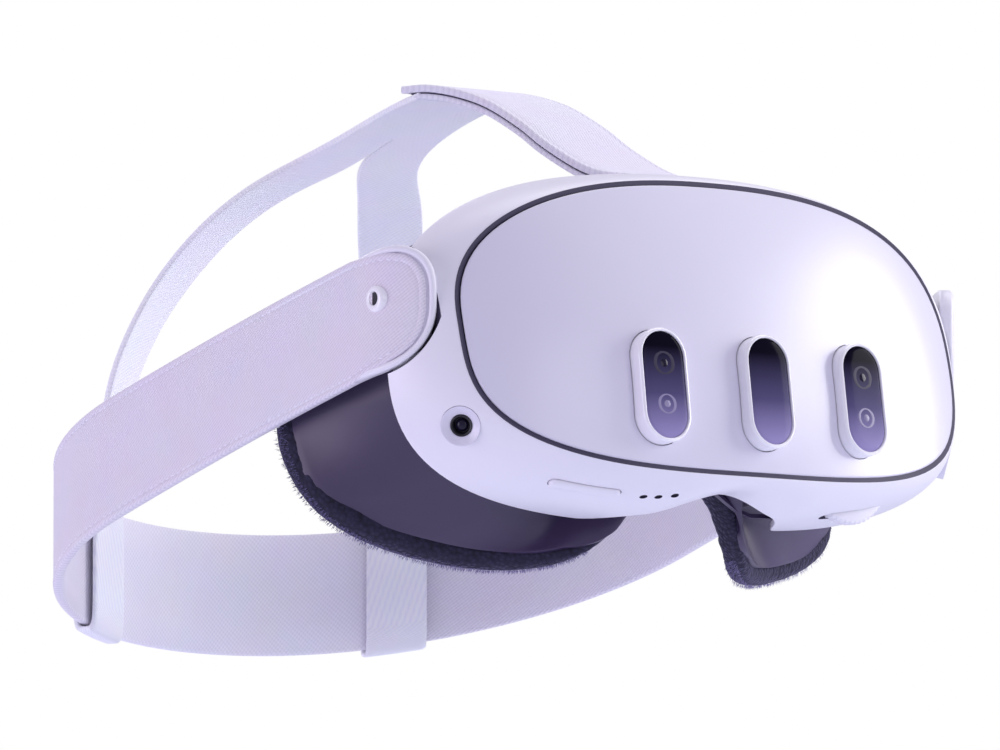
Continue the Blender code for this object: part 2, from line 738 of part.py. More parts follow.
def closed_turn(profile, point, axis, segments):
    """A turned solid as a mesh, from a profile of radius and height pairs that may touch the axis."""
    work = bmesh.new()
    rings = []
    for radius, height in profile:
        if radius == 0:
            rings.append([work.verts.new(Vector((0, 0, height)) * MM)])
        else:
            ring = [Vector((px, py, height)) * MM for px, py in circle(radius, segments)]
            rings.append([work.verts.new(point) for point in ring])
    pairs = list(zip(rings, rings[1:]))
    if profile[0][0] > 0 or profile[-1][0] > 0:
        pairs.append((rings[-1], rings[0]))
    for first, second in pairs:
        for i in range(segments):
            k = (i + 1) % segments
            corners = [first[i % len(first)], first[k % len(first)],
                       second[k % len(second)], second[i % len(second)]]
            unique = list(dict.fromkeys(corners))
            if len(unique) > 2:
                work.faces.new(unique)
    bmesh.ops.recalc_face_normals(work, faces=work.faces)
    along = (1, 0, 0) if abs(Vector(axis).normalized().x) < 0.9 else (0, 1, 0)
    bmesh.ops.transform(work, matrix=aimed(axis, point, along), verts=work.verts)
    mesh = bpy.data.meshes.new("turned")
    work.to_mesh(mesh)
    work.free()
    return mesh


# ---------------------------------------------------------------- lens mechanism

def make_lens_unit(side, name):
    x = side * LENS_SPACING
    pivot = (x, BARREL_FRONT_Y, LENS_Z)
    depth = BARREL_REAR_Y - BARREL_FRONT_Y
    profile = ((BARREL_RADIUS, depth - 0.8), (BARREL_RADIUS, 0.0), (BARREL_RADIUS - 3.0, 0.0),
               (BARREL_RADIUS - 3.0, 8.6), (BARREL_RADIUS - 4.4, 8.6), (BARREL_RADIUS - 4.4, 9.4),
               (BARREL_RADIUS - 1.6, 9.4), (BARREL_RADIUS - 1.6, depth), (BARREL_RADIUS - 0.8, depth))
    barrel = add_part(f"{name}_lens_barrel", closed_turn(profile, pivot, (0, 1, 0), 40), "black", pivot)
    for end in (-1, 1):
        near = LENS_Z + end * (BARREL_RADIUS - 2.0)
        far = LENS_Z + end * (ROD_OFFSET + 2.4)
        lug = box_mesh((x - 5, ROD_Y - 1.9, min(near, far)), (x + 5, ROD_Y + 1.9, max(near, far)))
        cut(barrel, cutter(f"{name}_lug_{end + 1}", lug), "UNION")
        bore_z = LENS_Z + end * ROD_OFFSET
        bore = cylinder_mesh(ROD_RADIUS + 0.25, (x - 9, ROD_Y, bore_z), (x + 9, ROD_Y, bore_z), 16)
        cut(barrel, cutter(f"{name}_bore_{end + 1}", bore))
    smooth(barrel)
    radius = BARREL_RADIUS - 1.6 - GAP
    lens = ((0.0, 13.6), (radius * 0.5, 13.2), (radius * 0.85, 12.2),
            (radius, 11.4), (radius, 9.8), (0.0, 9.8))
    mesh = closed_turn(lens, pivot, (0, 1, 0), 40)
    smooth(add_part(f"{name}_lens", mesh, "lens_glass", pivot))
    half = DISPLAY_WIDTH / 2
    screen = box_mesh((x - half, DISPLAY_Y, LENS_Z - DISPLAY_HEIGHT / 2),
                      (x + half, DISPLAY_Y + 1.2, LENS_Z + DISPLAY_HEIGHT / 2))
    add_part(f"{name}_display", screen, "window_glass", pivot)


def add_racks():
    """Each barrel carries a rack for the thumb wheel's pinion: the right one runs above it, and the
    left one hangs from a web behind it and runs below."""
    far = RACK_Y + RACK_DEPTH
    web_y = far + 0.5
    web_back = BARREL_FRONT_Y - 0.1
    over = IPD_WHEEL_Z + PINION_RADIUS + 0.4
    under = IPD_WHEEL_Z - PINION_RADIUS - 0.4
    join_y = BARREL_FRONT_Y + 1.5
    solids = {
        "right": (((-40, RACK_Y, over), (IPD_WHEEL_X + 7, far, over + 2.2)),
                  ((-38, RACK_Y, over), (-26, web_back, -9.6)),
                  ((-38, web_y, -12.8), (-26, join_y, -9.6))),
        "left": (((IPD_WHEEL_X - 8, RACK_Y, under - 1.8), (IPD_WHEEL_X + 8, web_back, under)),
                 ((IPD_WHEEL_X - 4, web_y, under - 1), (IPD_WHEEL_X + 4, web_back, -9)),
                 ((IPD_WHEEL_X - 6, web_y, -11.4), (IPD_WHEEL_X + 4, join_y, -8.6))),
    }
    for name, boxes in solids.items():
        barrel = bpy.data.objects[f"{name}_lens_barrel"]
        for i, (low, high) in enumerate(boxes):
            cut(barrel, cutter(f"{name}_rack_{i}", box_mesh(low, high)), "UNION")


def make_ipd_wheel():
    centre = (IPD_WHEEL_X, IPD_WHEEL_Y, IPD_WHEEL_Z)
    end = IPD_WHEEL_WIDTH
    pinion_end = RACK_Y + RACK_DEPTH - IPD_WHEEL_Y
    rim = IPD_WHEEL_RADIUS
    profile = [(0.0, 0.0), (rim - 0.5, 0.0), (rim, 0.5), (rim, end - 0.5), (rim - 0.5, end),
               (PINION_RADIUS, end), (PINION_RADIUS, pinion_end), (0.0, pinion_end)]
    add_part("ipd_wheel", closed_turn(profile, centre, (0, 1, 0), 48), "satin_white", centre)
    smooth(bpy.data.objects["ipd_wheel"])


def make_lens_mechanism():
    make_lens_unit(-1, "right")
    make_lens_unit(1, "left")
    add_racks()
    make_ipd_wheel()
    for end, name in ((-1, "lower"), (1, "upper")):
        z = LENS_Z + end * ROD_OFFSET
        add_part(f"{name}_guide_rod", cylinder_mesh(ROD_RADIUS, (-58, ROD_Y, z), (58, ROD_Y, z), 16), "metal")


# ---------------------------------------------------------------- rear of the visor

def make_rear_cover():
    inset = SKIRT_THICKNESS + 0.8
    openings = []
    for side in (-1, 1):
        reach = BARREL_RADIUS + 0.7
        slot = stadium(reach, reach + IPD_TRAVEL, 16)
        openings.append([(side * LENS_SPACING + py, LENS_Z + px) for px, py in slot])
    edge = flat_outline(SKIRT, inset, notch_share=SKIRT_NOTCH)
    plate = upright_plate([edge, *openings], REAR_COVER_Y, REAR_COVER_THICKNESS)
    add_part("rear_cover", plate, "dark_plastic")
    y = REAR_COVER_Y + REAR_COVER_THICKNESS + GAP
    for name, x, z in (("top", 0, 45), ("right", -66, 22), ("left", 66, 22)):
        add_part(f"{name}_cover_screw", cylinder_mesh(1.7, (x, y, z), (x, y + 1.1, z), 16), "metal")
    sensor = upright_plate([[(px, pz) for pz, px in stadium(2.2, 5.0, 8)]], y, 1.0, z=37.5)
    add_part("proximity_sensor", sensor, "window_glass")


def make_trim(seats):
    outer = flat_outline(TRIM, 0.0, 72, TRIM_NOTCH)
    inner = flat_outline(SKIRT, -0.5, 72, TRIM_NOTCH)
    trim = add_part("rear_trim", upright_plate([outer, inner], TRIM_Y, TRIM_THICKNESS), "dark_plastic")
    for seat in seats:
        cut(trim, seat)


def make_arm_brackets():
    for side, name in ((-1, "right"), (1, "left")):
        near = side * 80.2
        far = side * 81.6
        z = band_z(PIVOT_Y) + 1.5
        plate = box_mesh((min(near, far), 31.5, z - 20), (max(near, far), 42, z + 12.5))
        bracket = bevel(add_part(f"{name}_arm_bracket", plate, "metal"), 0.3, 1)
        pin = cylinder_mesh(PIVOT_RADIUS, (side * 81, PIVOT_Y, PIVOT_Z), (side * 88.0, PIVOT_Y, PIVOT_Z), 24)
        cut(bracket, cutter(f"{name}_pivot_pin", pin), "UNION")


def make_anchor():
    low = (-17.5, SHELL_REAR_Y + 1.0, 51.4)
    high = (17.5, 42.4, 54.6)
    anchor = bevel(add_part("top_strap_anchor", box_mesh(low, high), "satin_white"), 0.8)
    half = TOP_STRAP_WIDTH / 2 + 0.6
    cut(anchor, cutter("anchor_slot", box_mesh((-half, 36.6, 48), (half, 40.8, 60))))


# ---------------------------------------------------------------- facial interface

def funnel_rings():
    """Rings of the interface, from its front skirt to the edge that follows the face."""
    face = face_ring()
    rings = []
    for share in (0.0, 0.5, 1.0, 1.35, 1.7, 2.0):
        ring = []
        for point in face:
            angle = math.atan2(point.z - SKIRT["centre_z"], point.x)
            x, z = outline_point(angle, SKIRT)
            if math.sin(angle) < 0:
                z += notch(x, SKIRT_NOTCH)
            skirt_end = max(min(SKIRT_REAR_Y, point.y - FLARE_LENGTH), SHELL_REAR_Y + 0.8)
            if share <= 1.0:
                ring.append((x, SKIRT_FRONT_Y + share * (skirt_end - SKIRT_FRONT_Y), z))
                continue
            t = share - 1.0
            bulge = math.sin(math.pi * t) * 2.0
            ring.append((x + (point.x - x) * t, skirt_end + (point.y - skirt_end) * t,
                         z + (point.z - z) * t - bulge * (1 if point.z < 0 else 0)))
        rings.append(ring)
    return rings


def make_interface():
    mesh = loft(funnel_rings(), capped=False)
    work = bmesh.new()
    work.from_mesh(mesh)
    work.faces.ensure_lookup_table()
    sample = work.faces[0]
    if sample.normal.dot(sample.calc_center_median() - Vector((0, 0.03, 0.012))) < 0:
        bmesh.ops.reverse_faces(work, faces=work.faces)
    work.to_mesh(mesh)
    work.free()
    frame = add_part("facial_interface", mesh, "dark_plastic")
    solidify(frame, SKIRT_THICKNESS, even=False)
    smooth(frame)
    face = face_ring()
    count = len(face)
    rings = []
    for i, point in enumerate(face):
        tangent = (face[(i + 1) % count] - face[i - 1]).normalized()
        inward = Vector((0, 1, 0)).cross(tangent)
        inward.y = 0
        if inward.dot(Vector((0, 0, 12)) - Vector((point.x, 0, point.z))) < 0:
            inward = -inward
        inward = inward.normalized()
        narrow = 0.3 + 0.7 * min(max(abs(point.x) - 26, 0) / 24, 1) if point.z < -10 else 1.0
        wide = CUSHION_WIDTH * narrow
        start = point + Vector((0, CUSHION_STANDOFF, 0))
        corners = ((-1.0, 1.2), (-0.6, 5.2), (1.6, CUSHION_DEPTH), (wide * 0.7, CUSHION_DEPTH - 0.8),
                   (wide, 2.6), (wide * 0.6, 0.0), (0.4, 0.0))
        rings.append([start + inward * across + Vector((0, back, 0)) for across, back in corners])
    cushion = add_part("face_cushion", loft(rings, closed_path=True), "dark_foam")
    smooth(cushion, 60)
    for side, name in ((-1, "right"), (1, "left")):
        near = side * 69.8
        far = side * 74.0
        block = box_mesh((min(near, far), 34, -4), (max(near, far), 40, 10))
        bevel(add_part(f"{name}_release_button", block, "satin_white", (side * 71.9, 37, 3)), 0.8)


# ---------------------------------------------------------------- harness

def make_arms():
    tips = [ARM_TIP_Y + (PIVOT_Y - ARM_TIP_Y) * (1 - math.cos(math.radians(90) * i / 8)) for i in range(9)]
    tips[0] = ARM_TIP_Y + 0.12
    stations = tips + [42, 48, 56, 66, ARM_END_Y]
    for side, name in ((-1, "right"), (1, "left")):
        rings = []
        for y in stations:
            thickness = ARM_THICKNESS - 1.8 * max(ARM_BEND_Y - y, 0) / (ARM_BEND_Y - ARM_TIP_Y)
            place = (side * arm_x(y), y, band_z(y))
            rings.append(band_section(place, (-side, 0), arm_half_height(y), thickness))
        arm = add_part(f"{name}_arm", loft(rings), "satin_white", (0, PIVOT_Y, PIVOT_Z))
        bottom = (side * 80, PIVOT_Y, PIVOT_Z)
        hole = cylinder_mesh(PIVOT_RADIUS + 0.35, bottom, (side * 88.4, PIVOT_Y, PIVOT_Z), 24)
        cut(arm, cutter(f"{name}_pivot_hole", hole))
        x_in = side * (arm_x(62) - ARM_THICKNESS - GAP)
        grille = box_mesh((min(x_in, x_in - side * 1.6), 54, band_z(62) - 9),
                          (max(x_in, x_in - side * 1.6), 72, band_z(62) + 5))
        bevel(add_part(f"{name}_speaker", grille, "dark_plastic", (0, PIVOT_Y, PIVOT_Z)), 0.5)
    make_audio_jack()
    make_usb_port()


def make_audio_jack():
    x = -arm_x(PIVOT_Y)
    pocket = cylinder_mesh(3.4 + GAP, (x + 1.7, PIVOT_Y, PIVOT_Z + 1.5), (x - 6, PIVOT_Y, PIVOT_Z + 1.5), 24)
    cut(bpy.data.objects["right_arm"], cutter("jack_pocket", pocket))
    profile = ((3.4, 1.7), (3.4, 0.0), (1.75, 0.0), (1.75, 1.7))
    mesh = closed_turn(profile, (x + 1.4, PIVOT_Y, PIVOT_Z + 1.5), (-1, 0, 0), 24)
    add_part("audio_jack", mesh, "gloss_white", (0, PIVOT_Y, PIVOT_Z))


def make_usb_port():
    y = 62.0
    x = arm_x(y)
    z = band_z(y)
    stand = Matrix.Translation(Vector((x, y, z)) * MM) @ aimed((1, 0, 0), (0, 0, 0), (0, 0, 1))
    pocket = plate_mesh([stadium(1.9 + GAP, 5.2 + GAP, 8)], 4.0)
    pocket.transform(stand)
    cut(bpy.data.objects["left_arm"], cutter("usb_pocket", pocket))
    ring = plate_mesh([stadium(1.9, 5.2, 8), stadium(1.2, 4.4, 8)], 1.6)
    ring.transform(stand @ Matrix.Translation((0, 0, -0.9 * MM)))
    add_part("usb_port", ring, "metal", (0, PIVOT_Y, PIVOT_Z))


def rear_section(x, thickness, shrink=0.0, offset=0.0):
    """A section of the rear loop at an X, its outer face moved inward by the offset."""
    ix, iy = rear_normal(x)
    y = rear_y(x)
    half = band_height(y) / 2 + shrink
    point = (x + ix * offset, y + iy * offset, band_z(y))
    return band_section(point, (ix, iy), half, thickness)


def make_side_straps():
    for side, name in ((-1, "right"), (1, "left")):
        rings = []
        for y in (ARM_END_Y + GAP + 0.1, 90, 105, 122, LOOP_SIDE_Y):
            place = (side * arm_x(y), y, band_z(y))
            rings.append(band_section(place, (-side, 0), band_height(y) / 2, BAND_THICKNESS))
        for turn in (12, 22, 32, 42, 50, 58):
            x = side * LOOP_HALF_WIDTH * math.cos(math.radians(turn)) ** (2 / LOOP_POWER)
            if abs(x) < SPLICE_X + 1:
                break
            rings.append(rear_section(x, BAND_THICKNESS))
        rings.append(rear_section(side * (SPLICE_X + 0.3), BAND_THICKNESS))
        smooth(add_part(f"{name}_side_strap", loft(rings), "fabric", (0, PIVOT_Y, PIVOT_Z)))
    steps = 10
    rings = [rear_section(-SPLICE_X + 2 * SPLICE_X * i / steps, BAND_THICKNESS) for i in range(steps + 1)]
    smooth(add_part("rear_strap", loft(rings), "fabric", (0, PIVOT_Y, PIVOT_Z)))


def make_sleeves():
    clear = 0.45
    for side, name in ((-1, "right"), (1, "left")):
        outer, inner = [], []
        for x in (SLEEVE_NEAR_X, SPLICE_X, SLEEVE_FAR_X):
            wall = clear + SLEEVE_WALL
            outer.append(rear_section(side * x, BAND_THICKNESS + 2 * wall, wall, -wall))
            inner.append(rear_section(side * x, BAND_THICKNESS + 2 * clear, clear, -clear))
        mesh = loft(outer + inner[::-1], closed_path=True)
        add_part(f"{name}_strap_loop", mesh, "gloss_white", (0, PIVOT_Y, PIVOT_Z))


def ribbon_rings(points, width, thickness, start=0.0):
    """Sections of a flat strap laid over the head, start millimetres above its lower face."""
    rings = []
    last = len(points) - 1
    for i, point in enumerate(points):
        tangent = (points[min(i + 1, last)] - points[max(i - 1, 0)]).normalized()
        out = (point - Vector(HEAD_CENTRE))
        out = (out - tangent * out.dot(tangent)).normalized()
        across = tangent.cross(out).normalized() * (width / 2)
        low = point + out * start
        high = low + out * thickness
        rings.append([low - across, low + across, high + across, high - across])
    return rings


def make_top_straps():
    count = 30
    points = spline_points(TOP_STRAP_PATH, count)
    split = int(count * TOP_STRAP_SPLIT)
    pivot = (0, PIVOT_Y, PIVOT_Z)
    front = ribbon_rings(points[:split], TOP_STRAP_WIDTH, TOP_STRAP_THICKNESS)
    smooth(add_part("top_strap_front", loft(front), "fabric"))
    back = ribbon_rings(points[split:], TOP_STRAP_WIDTH, 2 * TOP_STRAP_THICKNESS)
    smooth(add_part("top_strap", loft(back), "fabric", pivot))
    for side, name in ((1, "right"), (-1, "left")):
        path = [Vector((side * p[0], p[1], p[2])) for p in CROWN_PATH]
        shape = loft(ribbon_rings(spline_points(path, 20), CROWN_WIDTH, TOP_STRAP_THICKNESS))
        if side > 0:
            crown = add_part("crown_strap", shape, "fabric", pivot)
        else:
            cut(crown, cutter("left_crown", shape), "UNION")


def build():
    seats = [seat_cutter("right_seat", -1, SEAT_CLEARANCE), seat_cutter("left_seat", 1, SEAT_CLEARANCE)]
    make_front_panel()
    make_gasket()
    make_shell(seats)
    make_windows()
    make_window_cameras()
    make_side_cameras()
    make_controls()
    make_internals()
    make_fan()
    make_lens_mechanism()
    make_rear_cover()
    make_trim(seats)
    make_arm_brackets()
    make_anchor()
    make_interface()
    make_arms()
    make_side_straps()
    make_sleeves()
    make_top_straps()


build()
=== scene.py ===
"""The looks of a stand-alone VR headset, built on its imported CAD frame.

Shapes are drawn in the visor's own millimetres: X to the wearer's left, Y from the front of the
visor to the back of the head, Z up, zero at the centre window. at() turns them into the frame.
"""

import json
import math

import bmesh
import bpy
import numpy as np
from mathutils import Matrix, Vector


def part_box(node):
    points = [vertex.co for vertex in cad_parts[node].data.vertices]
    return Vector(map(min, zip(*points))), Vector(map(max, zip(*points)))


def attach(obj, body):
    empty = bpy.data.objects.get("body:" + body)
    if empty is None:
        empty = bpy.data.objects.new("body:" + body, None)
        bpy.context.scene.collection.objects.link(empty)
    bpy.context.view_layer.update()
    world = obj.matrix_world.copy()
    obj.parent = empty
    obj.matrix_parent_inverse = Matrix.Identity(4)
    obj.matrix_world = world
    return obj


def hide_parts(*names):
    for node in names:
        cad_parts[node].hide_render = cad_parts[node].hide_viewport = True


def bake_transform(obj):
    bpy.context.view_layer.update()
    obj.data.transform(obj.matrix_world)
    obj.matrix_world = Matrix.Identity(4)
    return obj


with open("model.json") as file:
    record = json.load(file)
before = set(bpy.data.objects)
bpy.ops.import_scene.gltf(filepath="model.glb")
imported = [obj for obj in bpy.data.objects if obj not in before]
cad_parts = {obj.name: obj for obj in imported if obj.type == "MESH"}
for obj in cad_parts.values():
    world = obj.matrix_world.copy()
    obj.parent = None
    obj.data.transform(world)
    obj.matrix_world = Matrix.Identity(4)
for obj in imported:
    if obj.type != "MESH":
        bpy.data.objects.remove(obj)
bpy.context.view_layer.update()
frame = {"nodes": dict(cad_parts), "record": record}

MM = 0.001
TILT = next(j for j in frame["record"]["behaviour"]["joints"] if j["name"] == "harness_tilt")
PIVOT_Y = 37.0
PIVOT_Z = 18.5
ORIGIN = Vector(TILT["pos_m"]) - Vector((0.0, PIVOT_Y, PIVOT_Z)) * MM

# Front panel and shell
PANEL_LEAN = 0.138
PANEL_BOW = (0.00162, 2.18e-7, 0.00415)
SEAM = dict(half_width=77.7, centre_z=14.4, top=37.6, bottom=34.9, top_power=2.41, bottom_power=3.28)
SEAM_HALF_GAP = 0.58
PANEL_THICKNESS = 1.2
SHELL_THICKNESS = 1.5
SHELL_REAR = dict(half_width=88.4, centre_z=12.0, top=43.2, bottom=42.9, top_power=2.35, bottom_power=3.15)
SHELL_REAR_Y = 32.0
SHELL_SIDE_REAR_Y = 35.5
NOTCH_HALF_WIDTH = 21.0
NOTCH_HEIGHT = 8.5
NOSE_CUT = 0.32
NOSE_CUT_X = 17.0
NOSE_CUT_FADE = 15.0
SHELL_POINTS = 240
SEAM_POINTS = 200
SEAT_INNER_X = 81.0
SEAT_OUTER_X = 104.0
SEAT_CLEARANCE = 0.55
SEAT_SEARCH = 14.0

# Sensor windows
WINDOW_SPACING = 31.6
WINDOW_FRONT_Y = -3.3
WINDOW_SIDE_SETBACK = 1.9
WINDOW_SIDE_TURN = math.radians(3.5)
BEZEL_HALF_WIDTH = 7.15
BEZEL_HALF_HEIGHT = 14.2
BEZEL_RIM = 0.95
BEZEL_CLEARANCE = 0.18
UPPER_CAMERA_Z = 5.3
LOWER_CAMERA_Z = -4.8

# Side camera, rocker and power button
SIDE_CAMERA_POINT = (78.5, 19.8, -11.5)
SIDE_CAMERA_AXIS = (0.75, -0.61, -0.25)
DISH_RADIUS = 5.0
ROCKER_POINT = (-45.5, 12.3, -26.6)
ROCKER_ALONG = (0.96, -0.25, -0.13)
ROCKER_OUT = (-0.05, -0.36, -0.93)
ROCKER_HALF_WIDTH = 1.72
ROCKER_HALF_LENGTH = 9.5
POWER_POINT = (85.0, 26.9, -4.5)
POWER_OUT = (0.87, -0.49, -0.05)
POWER_RADIUS = 3.0
WHEEL_POINT = (40.0, 13.4, -17.6)
WHEEL_RADIUS = 12.0
WHEEL_WIDTH = 3.6
WHEEL_RIDGES = 48
WHEEL_RIDGE = 0.22
MIC_XS = (-29.6, -25.9, -22.2)

# Facial interface
SKIRT = dict(half_width=77.2, centre_z=12.0, top=38.9, bottom=37.4, top_power=2.25, bottom_power=2.5)
SKIRT_FRONT_Y = 26.0
SKIRT_REAR_Y = 42.0
SKIRT_NOTCH = 1.1
FRAME_THICKNESS = 1.6
FRAME_BULGE = 2.0
CUSHION_WIDTH = 8.0
CUSHION_DEPTH = 9.3
CUSHION_COLUMNS = 14
PILE_COUNT = 5200
FACE_RING = ((0, 40, 44), (30, 43, 43.5), (57, 51, 38), (76, 62, 25), (84.5, 72, 8), (85.5, 74, -8),
             (84, 70, -20.5), (78, 65, -30), (66, 60, -36.5), (50, 54, -40.5), (37.5, 46, -41.5),
             (28, 38, -39.5), (21.5, 32.5, -34.5), (15.5, 29.5, -26), (8.5, 29.5, -19.5), (0, 30, -16.5))

# Harness loop
LOOP_HALF_WIDTH = 92.9
LOOP_FRONT_WIDTH = 91.4
LOOP_SIDE_Y = 140.5
LOOP_DEPTH = 76.4
LOOP_POWER = 2.07
LOOP_PIVOT_Z = 16.96
LOOP_SLOPE = -0.2515
LOOP_SAG = -0.000277
BAND_HEIGHT = 29.9
BAND_HEIGHT_REAR = 31.2
BAND_THICKNESS = 3.0
ARM_TIP_Y = 24.0
ARM_TIP_POWER = 2.7
ARM_BEND_Y = 42.0
ARM_BEND_IN = 9.0
ARM_END_Y = 78.0
PORT_Y = 62.0
ARM_THICKNESS = 4.6
CLOTH_INSET = 1.75
STITCH_PITCH = 2.1
STITCH_LENGTH = 1.25
STITCH_INSET = 1.78
SPLICE_X = 48.5
SLEEVE_NEAR_X = 41.0
SLEEVE_FAR_X = 56.0

# Straps over the head
TOP_STRAP_WIDTH = 28.0
TOP_STRAP_PATH = ((0, 38.7, 52.3), (0, 41, 52.6), (0, 48, 54.0), (0, 56.8, 57.2), (0, 69, 63.3),
                  (0, 78.4, 68.9), (0, 90.7, 74.9), (0, 102.3, 78.6), (0, 114, 80.9), (0, 124, 81.4))
STEM_OUTER = ((-14, 117, 82.2), (-14, 126, 80.7), (-14, 134, 78.6), (-14.2, 147, 74.6), (-17, 157, 70.6),
              (-21.5, 163, 67.2))
STEM_INNER = ((0, 117, 82.4), (0, 126, 80.9), (0, 134, 78.8), (0, 149, 74.2), (0, 162, 68.9),
              (-6.5, 167.4, 66.0))
CROWN_PATH = ((-20.5, 172, 62), (-25.5, 178.5, 56), (-30, 184, 50), (-36, 189.5, 40), (-41, 191.5, 32),
              (-45, 194.4, 22), (-48, 196.4, 12), (-49.5, 196.8, 2), (-49.5, 197.2, -7), (-47.5, 199.5, -12.3))
CROWN_WIDTH = 17.0
CROWN_THICKNESS = 1.6
HEAD_CENTRE = Vector((0.0, 120.0, -10.0))

# Camera and light
CAMERA_POINT = (-1770.4, -2096.0, -247.4)
CAMERA_TARGET = (-49.94, 39.75, 4.083)
CAMERA_LENS = 407.9
LIT_POINT = (-10, 80, 10)
FLOOR_Z = -0.5
FLOOR_HALF = 6.0


def at(x, y, z):
    return ORIGIN + Vector((x, y, z)) * MM


def clamped(value):
    return min(max(value, 0.0), 1.0)


def signed_power(value, power):
    return math.copysign(abs(value) ** power, value)


# ---- node materials

SOCKETS = dict(coat_weight="Coat Weight", coat_roughness="Coat Roughness", ior="IOR",
               specular="Specular IOR Level", transmission_weight="Transmission Weight")


def new_material(name, colour, roughness, metallic=0.0, **sockets):
    made = bpy.data.materials.new(name)
    made.use_nodes = True
    made.diffuse_color = (*colour, 1.0)
    values = {"Base Color": (*colour, 1.0), "Roughness": roughness, "Metallic": metallic}
    values.update((SOCKETS[key], value) for key, value in sockets.items())
    for socket, value in values.items():
        principled(made).inputs[socket].default_value = value
    return made


def node(material, kind, inputs=(), **values):
    """Add a node. Its inputs are (socket, value) pairs, or (socket, node, output) to be linked."""
    made = material.node_tree.nodes.new("ShaderNode" + kind)
    for key, value in values.items():
        setattr(made, key, value)
    join(material, made, inputs)
    return made


def join(material, target, inputs):
    for socket, source, *output in inputs:
        if output:
            material.node_tree.links.new(source.outputs[output[0]], target.inputs[socket])
        else:
            target.inputs[socket].default_value = source


def ramp_node(material, source, output, *stops):
    """A colour ramp fed by another node, with (position, colour) stops."""
    ramp = node(material, "ValToRGB", [("Fac", source, output)])
    elements = ramp.color_ramp.elements
    while len(elements) < len(stops):
        elements.new(0.5)
    for element, (position, colour) in zip(elements, stops):
        element.position = position
        element.color = (*colour, 1.0)
    return ramp


def principled(material):
    return material.node_tree.nodes["Principled BSDF"]


def mottled(material, colour, other, scale):
    """Vary the base colour between two shades with a soft noise."""
    where = node(material, "TexCoord")
    noise = node(material, "TexNoise", [("Vector", where, "Object"), ("Scale", scale), ("Detail", 4.0)])
    ramp = ramp_node(material, noise, "Fac", (0.35, colour), (0.75, other))
    join(material, principled(material), [("Base Color", ramp, "Color")])


def grained(material, scale, height, low, high):
    """Give a moulded surface its fine grain: bump and a little change in roughness."""
    where = node(material, "TexCoord")
    noise = node(material, "TexNoise", [("Vector", where, "Object"), ("Scale", scale), ("Detail", 3.0)])
    bump = node(material, "Bump", [("Height", noise, "Fac"), ("Strength", 0.35), ("Distance", height * MM)])
    wear = node(material, "TexNoise", [("Vector", where, "Object"), ("Scale", 60.0), ("Detail", 5.0)])
    spread = node(material, "MapRange", [("Value", wear, "Fac"), ("To Min", low), ("To Max", high)])
    join(material, principled(material), [("Normal", bump, "Normal"), ("Roughness", spread, "Result")])


def woven(name, colour, dark, pitch, angle, cross=0.0):
    """Cloth seen close: cords at an angle to the strap, a second set across them, and fibre fuzz.

    The strap's UVs are in metres along and across it, so pitch is a real spacing in millimetres."""
    cloth = new_material(name, colour, 0.85)
    where = node(cloth, "TexCoord")
    scale = 1.0 / (pitch * MM) / 20.0 * 2 * math.pi
    sets = []
    for turn, closeness in ((angle, 1.0), (angle + 90.0, 0.8)):
        along = node(cloth, "Mapping", [("Vector", where, "UV"),
                                        ("Rotation", (0.0, 0.0, math.radians(turn)))])
        sets.append(node(cloth, "TexWave", [("Vector", along, "Vector"), ("Scale", scale * closeness),
                                            ("Distortion", 0.6)]))
    fuzz = node(cloth, "TexNoise", [("Vector", where, "UV"), ("Scale", 2600.0), ("Detail", 3.0)])
    cloud = node(cloth, "TexNoise", [("Vector", where, "Object"), ("Scale", 70.0), ("Detail", 4.0)])
    weave = node(cloth, "Mix", [(0, cross), (2, sets[0], "Fac"), (3, sets[1], "Fac")], data_type="FLOAT")
    total = node(cloth, "Math", [(0, fuzz, "Fac"), (1, 0.35), (2, weave, 0)], operation="MULTIPLY_ADD")
    bump = node(cloth, "Bump", [("Height", total, "Value"), ("Strength", 0.6), ("Distance", 0.12 * MM)])
    ramp = ramp_node(cloth, weave, 0, (0.1, dark), (0.75, colour))
    patch = node(cloth, "Mix", data_type="RGBA", blend_type="MULTIPLY")
    join(cloth, patch, [(0, 0.10), (6, ramp, "Color"), (7, cloud, "Color")])
    join(cloth, principled(cloth), [
        ("Base Color", patch, 2), ("Normal", bump, "Normal"), ("Sheen Weight", 0.35),
        ("Sheen Roughness", 0.45), ("Sheen Tint", (0.93, 0.92, 1.0, 1.0))])
    return cloth


def foam_cover():
    """The dark knitted cover of the face cushion: small loops in relief with paler tips."""
    cloth = new_material("foam_cover", (0.03, 0.027, 0.06), 0.95)
    where = node(cloth, "TexCoord")
    loops = node(cloth, "TexVoronoi", [("Vector", where, "Object"), ("Scale", 900.0)])
    fuzz = node(cloth, "TexNoise", [("Vector", where, "Object"), ("Scale", 1800.0), ("Detail", 3.0)])
    ramp = ramp_node(cloth, loops, "Distance", (0.0, (0.026, 0.024, 0.062)), (1.0, (0.008, 0.007, 0.018)))
    relief = node(cloth, "Bump", [("Height", loops, "Distance"), ("Strength", 0.9), ("Distance", 0.45 * MM)],
                  invert=True)
    fibres = node(cloth, "Bump", [("Height", fuzz, "Fac"), ("Normal", relief, "Normal"), ("Strength", 0.4),
                                  ("Distance", 0.15 * MM)])
    join(cloth, principled(cloth), [
        ("Base Color", ramp, "Color"), ("Normal", fibres, "Normal"), ("Sheen Weight", 0.22),
        ("Sheen Roughness", 0.4), ("Sheen Tint", (0.55, 0.5, 0.9, 1.0))])
    return cloth


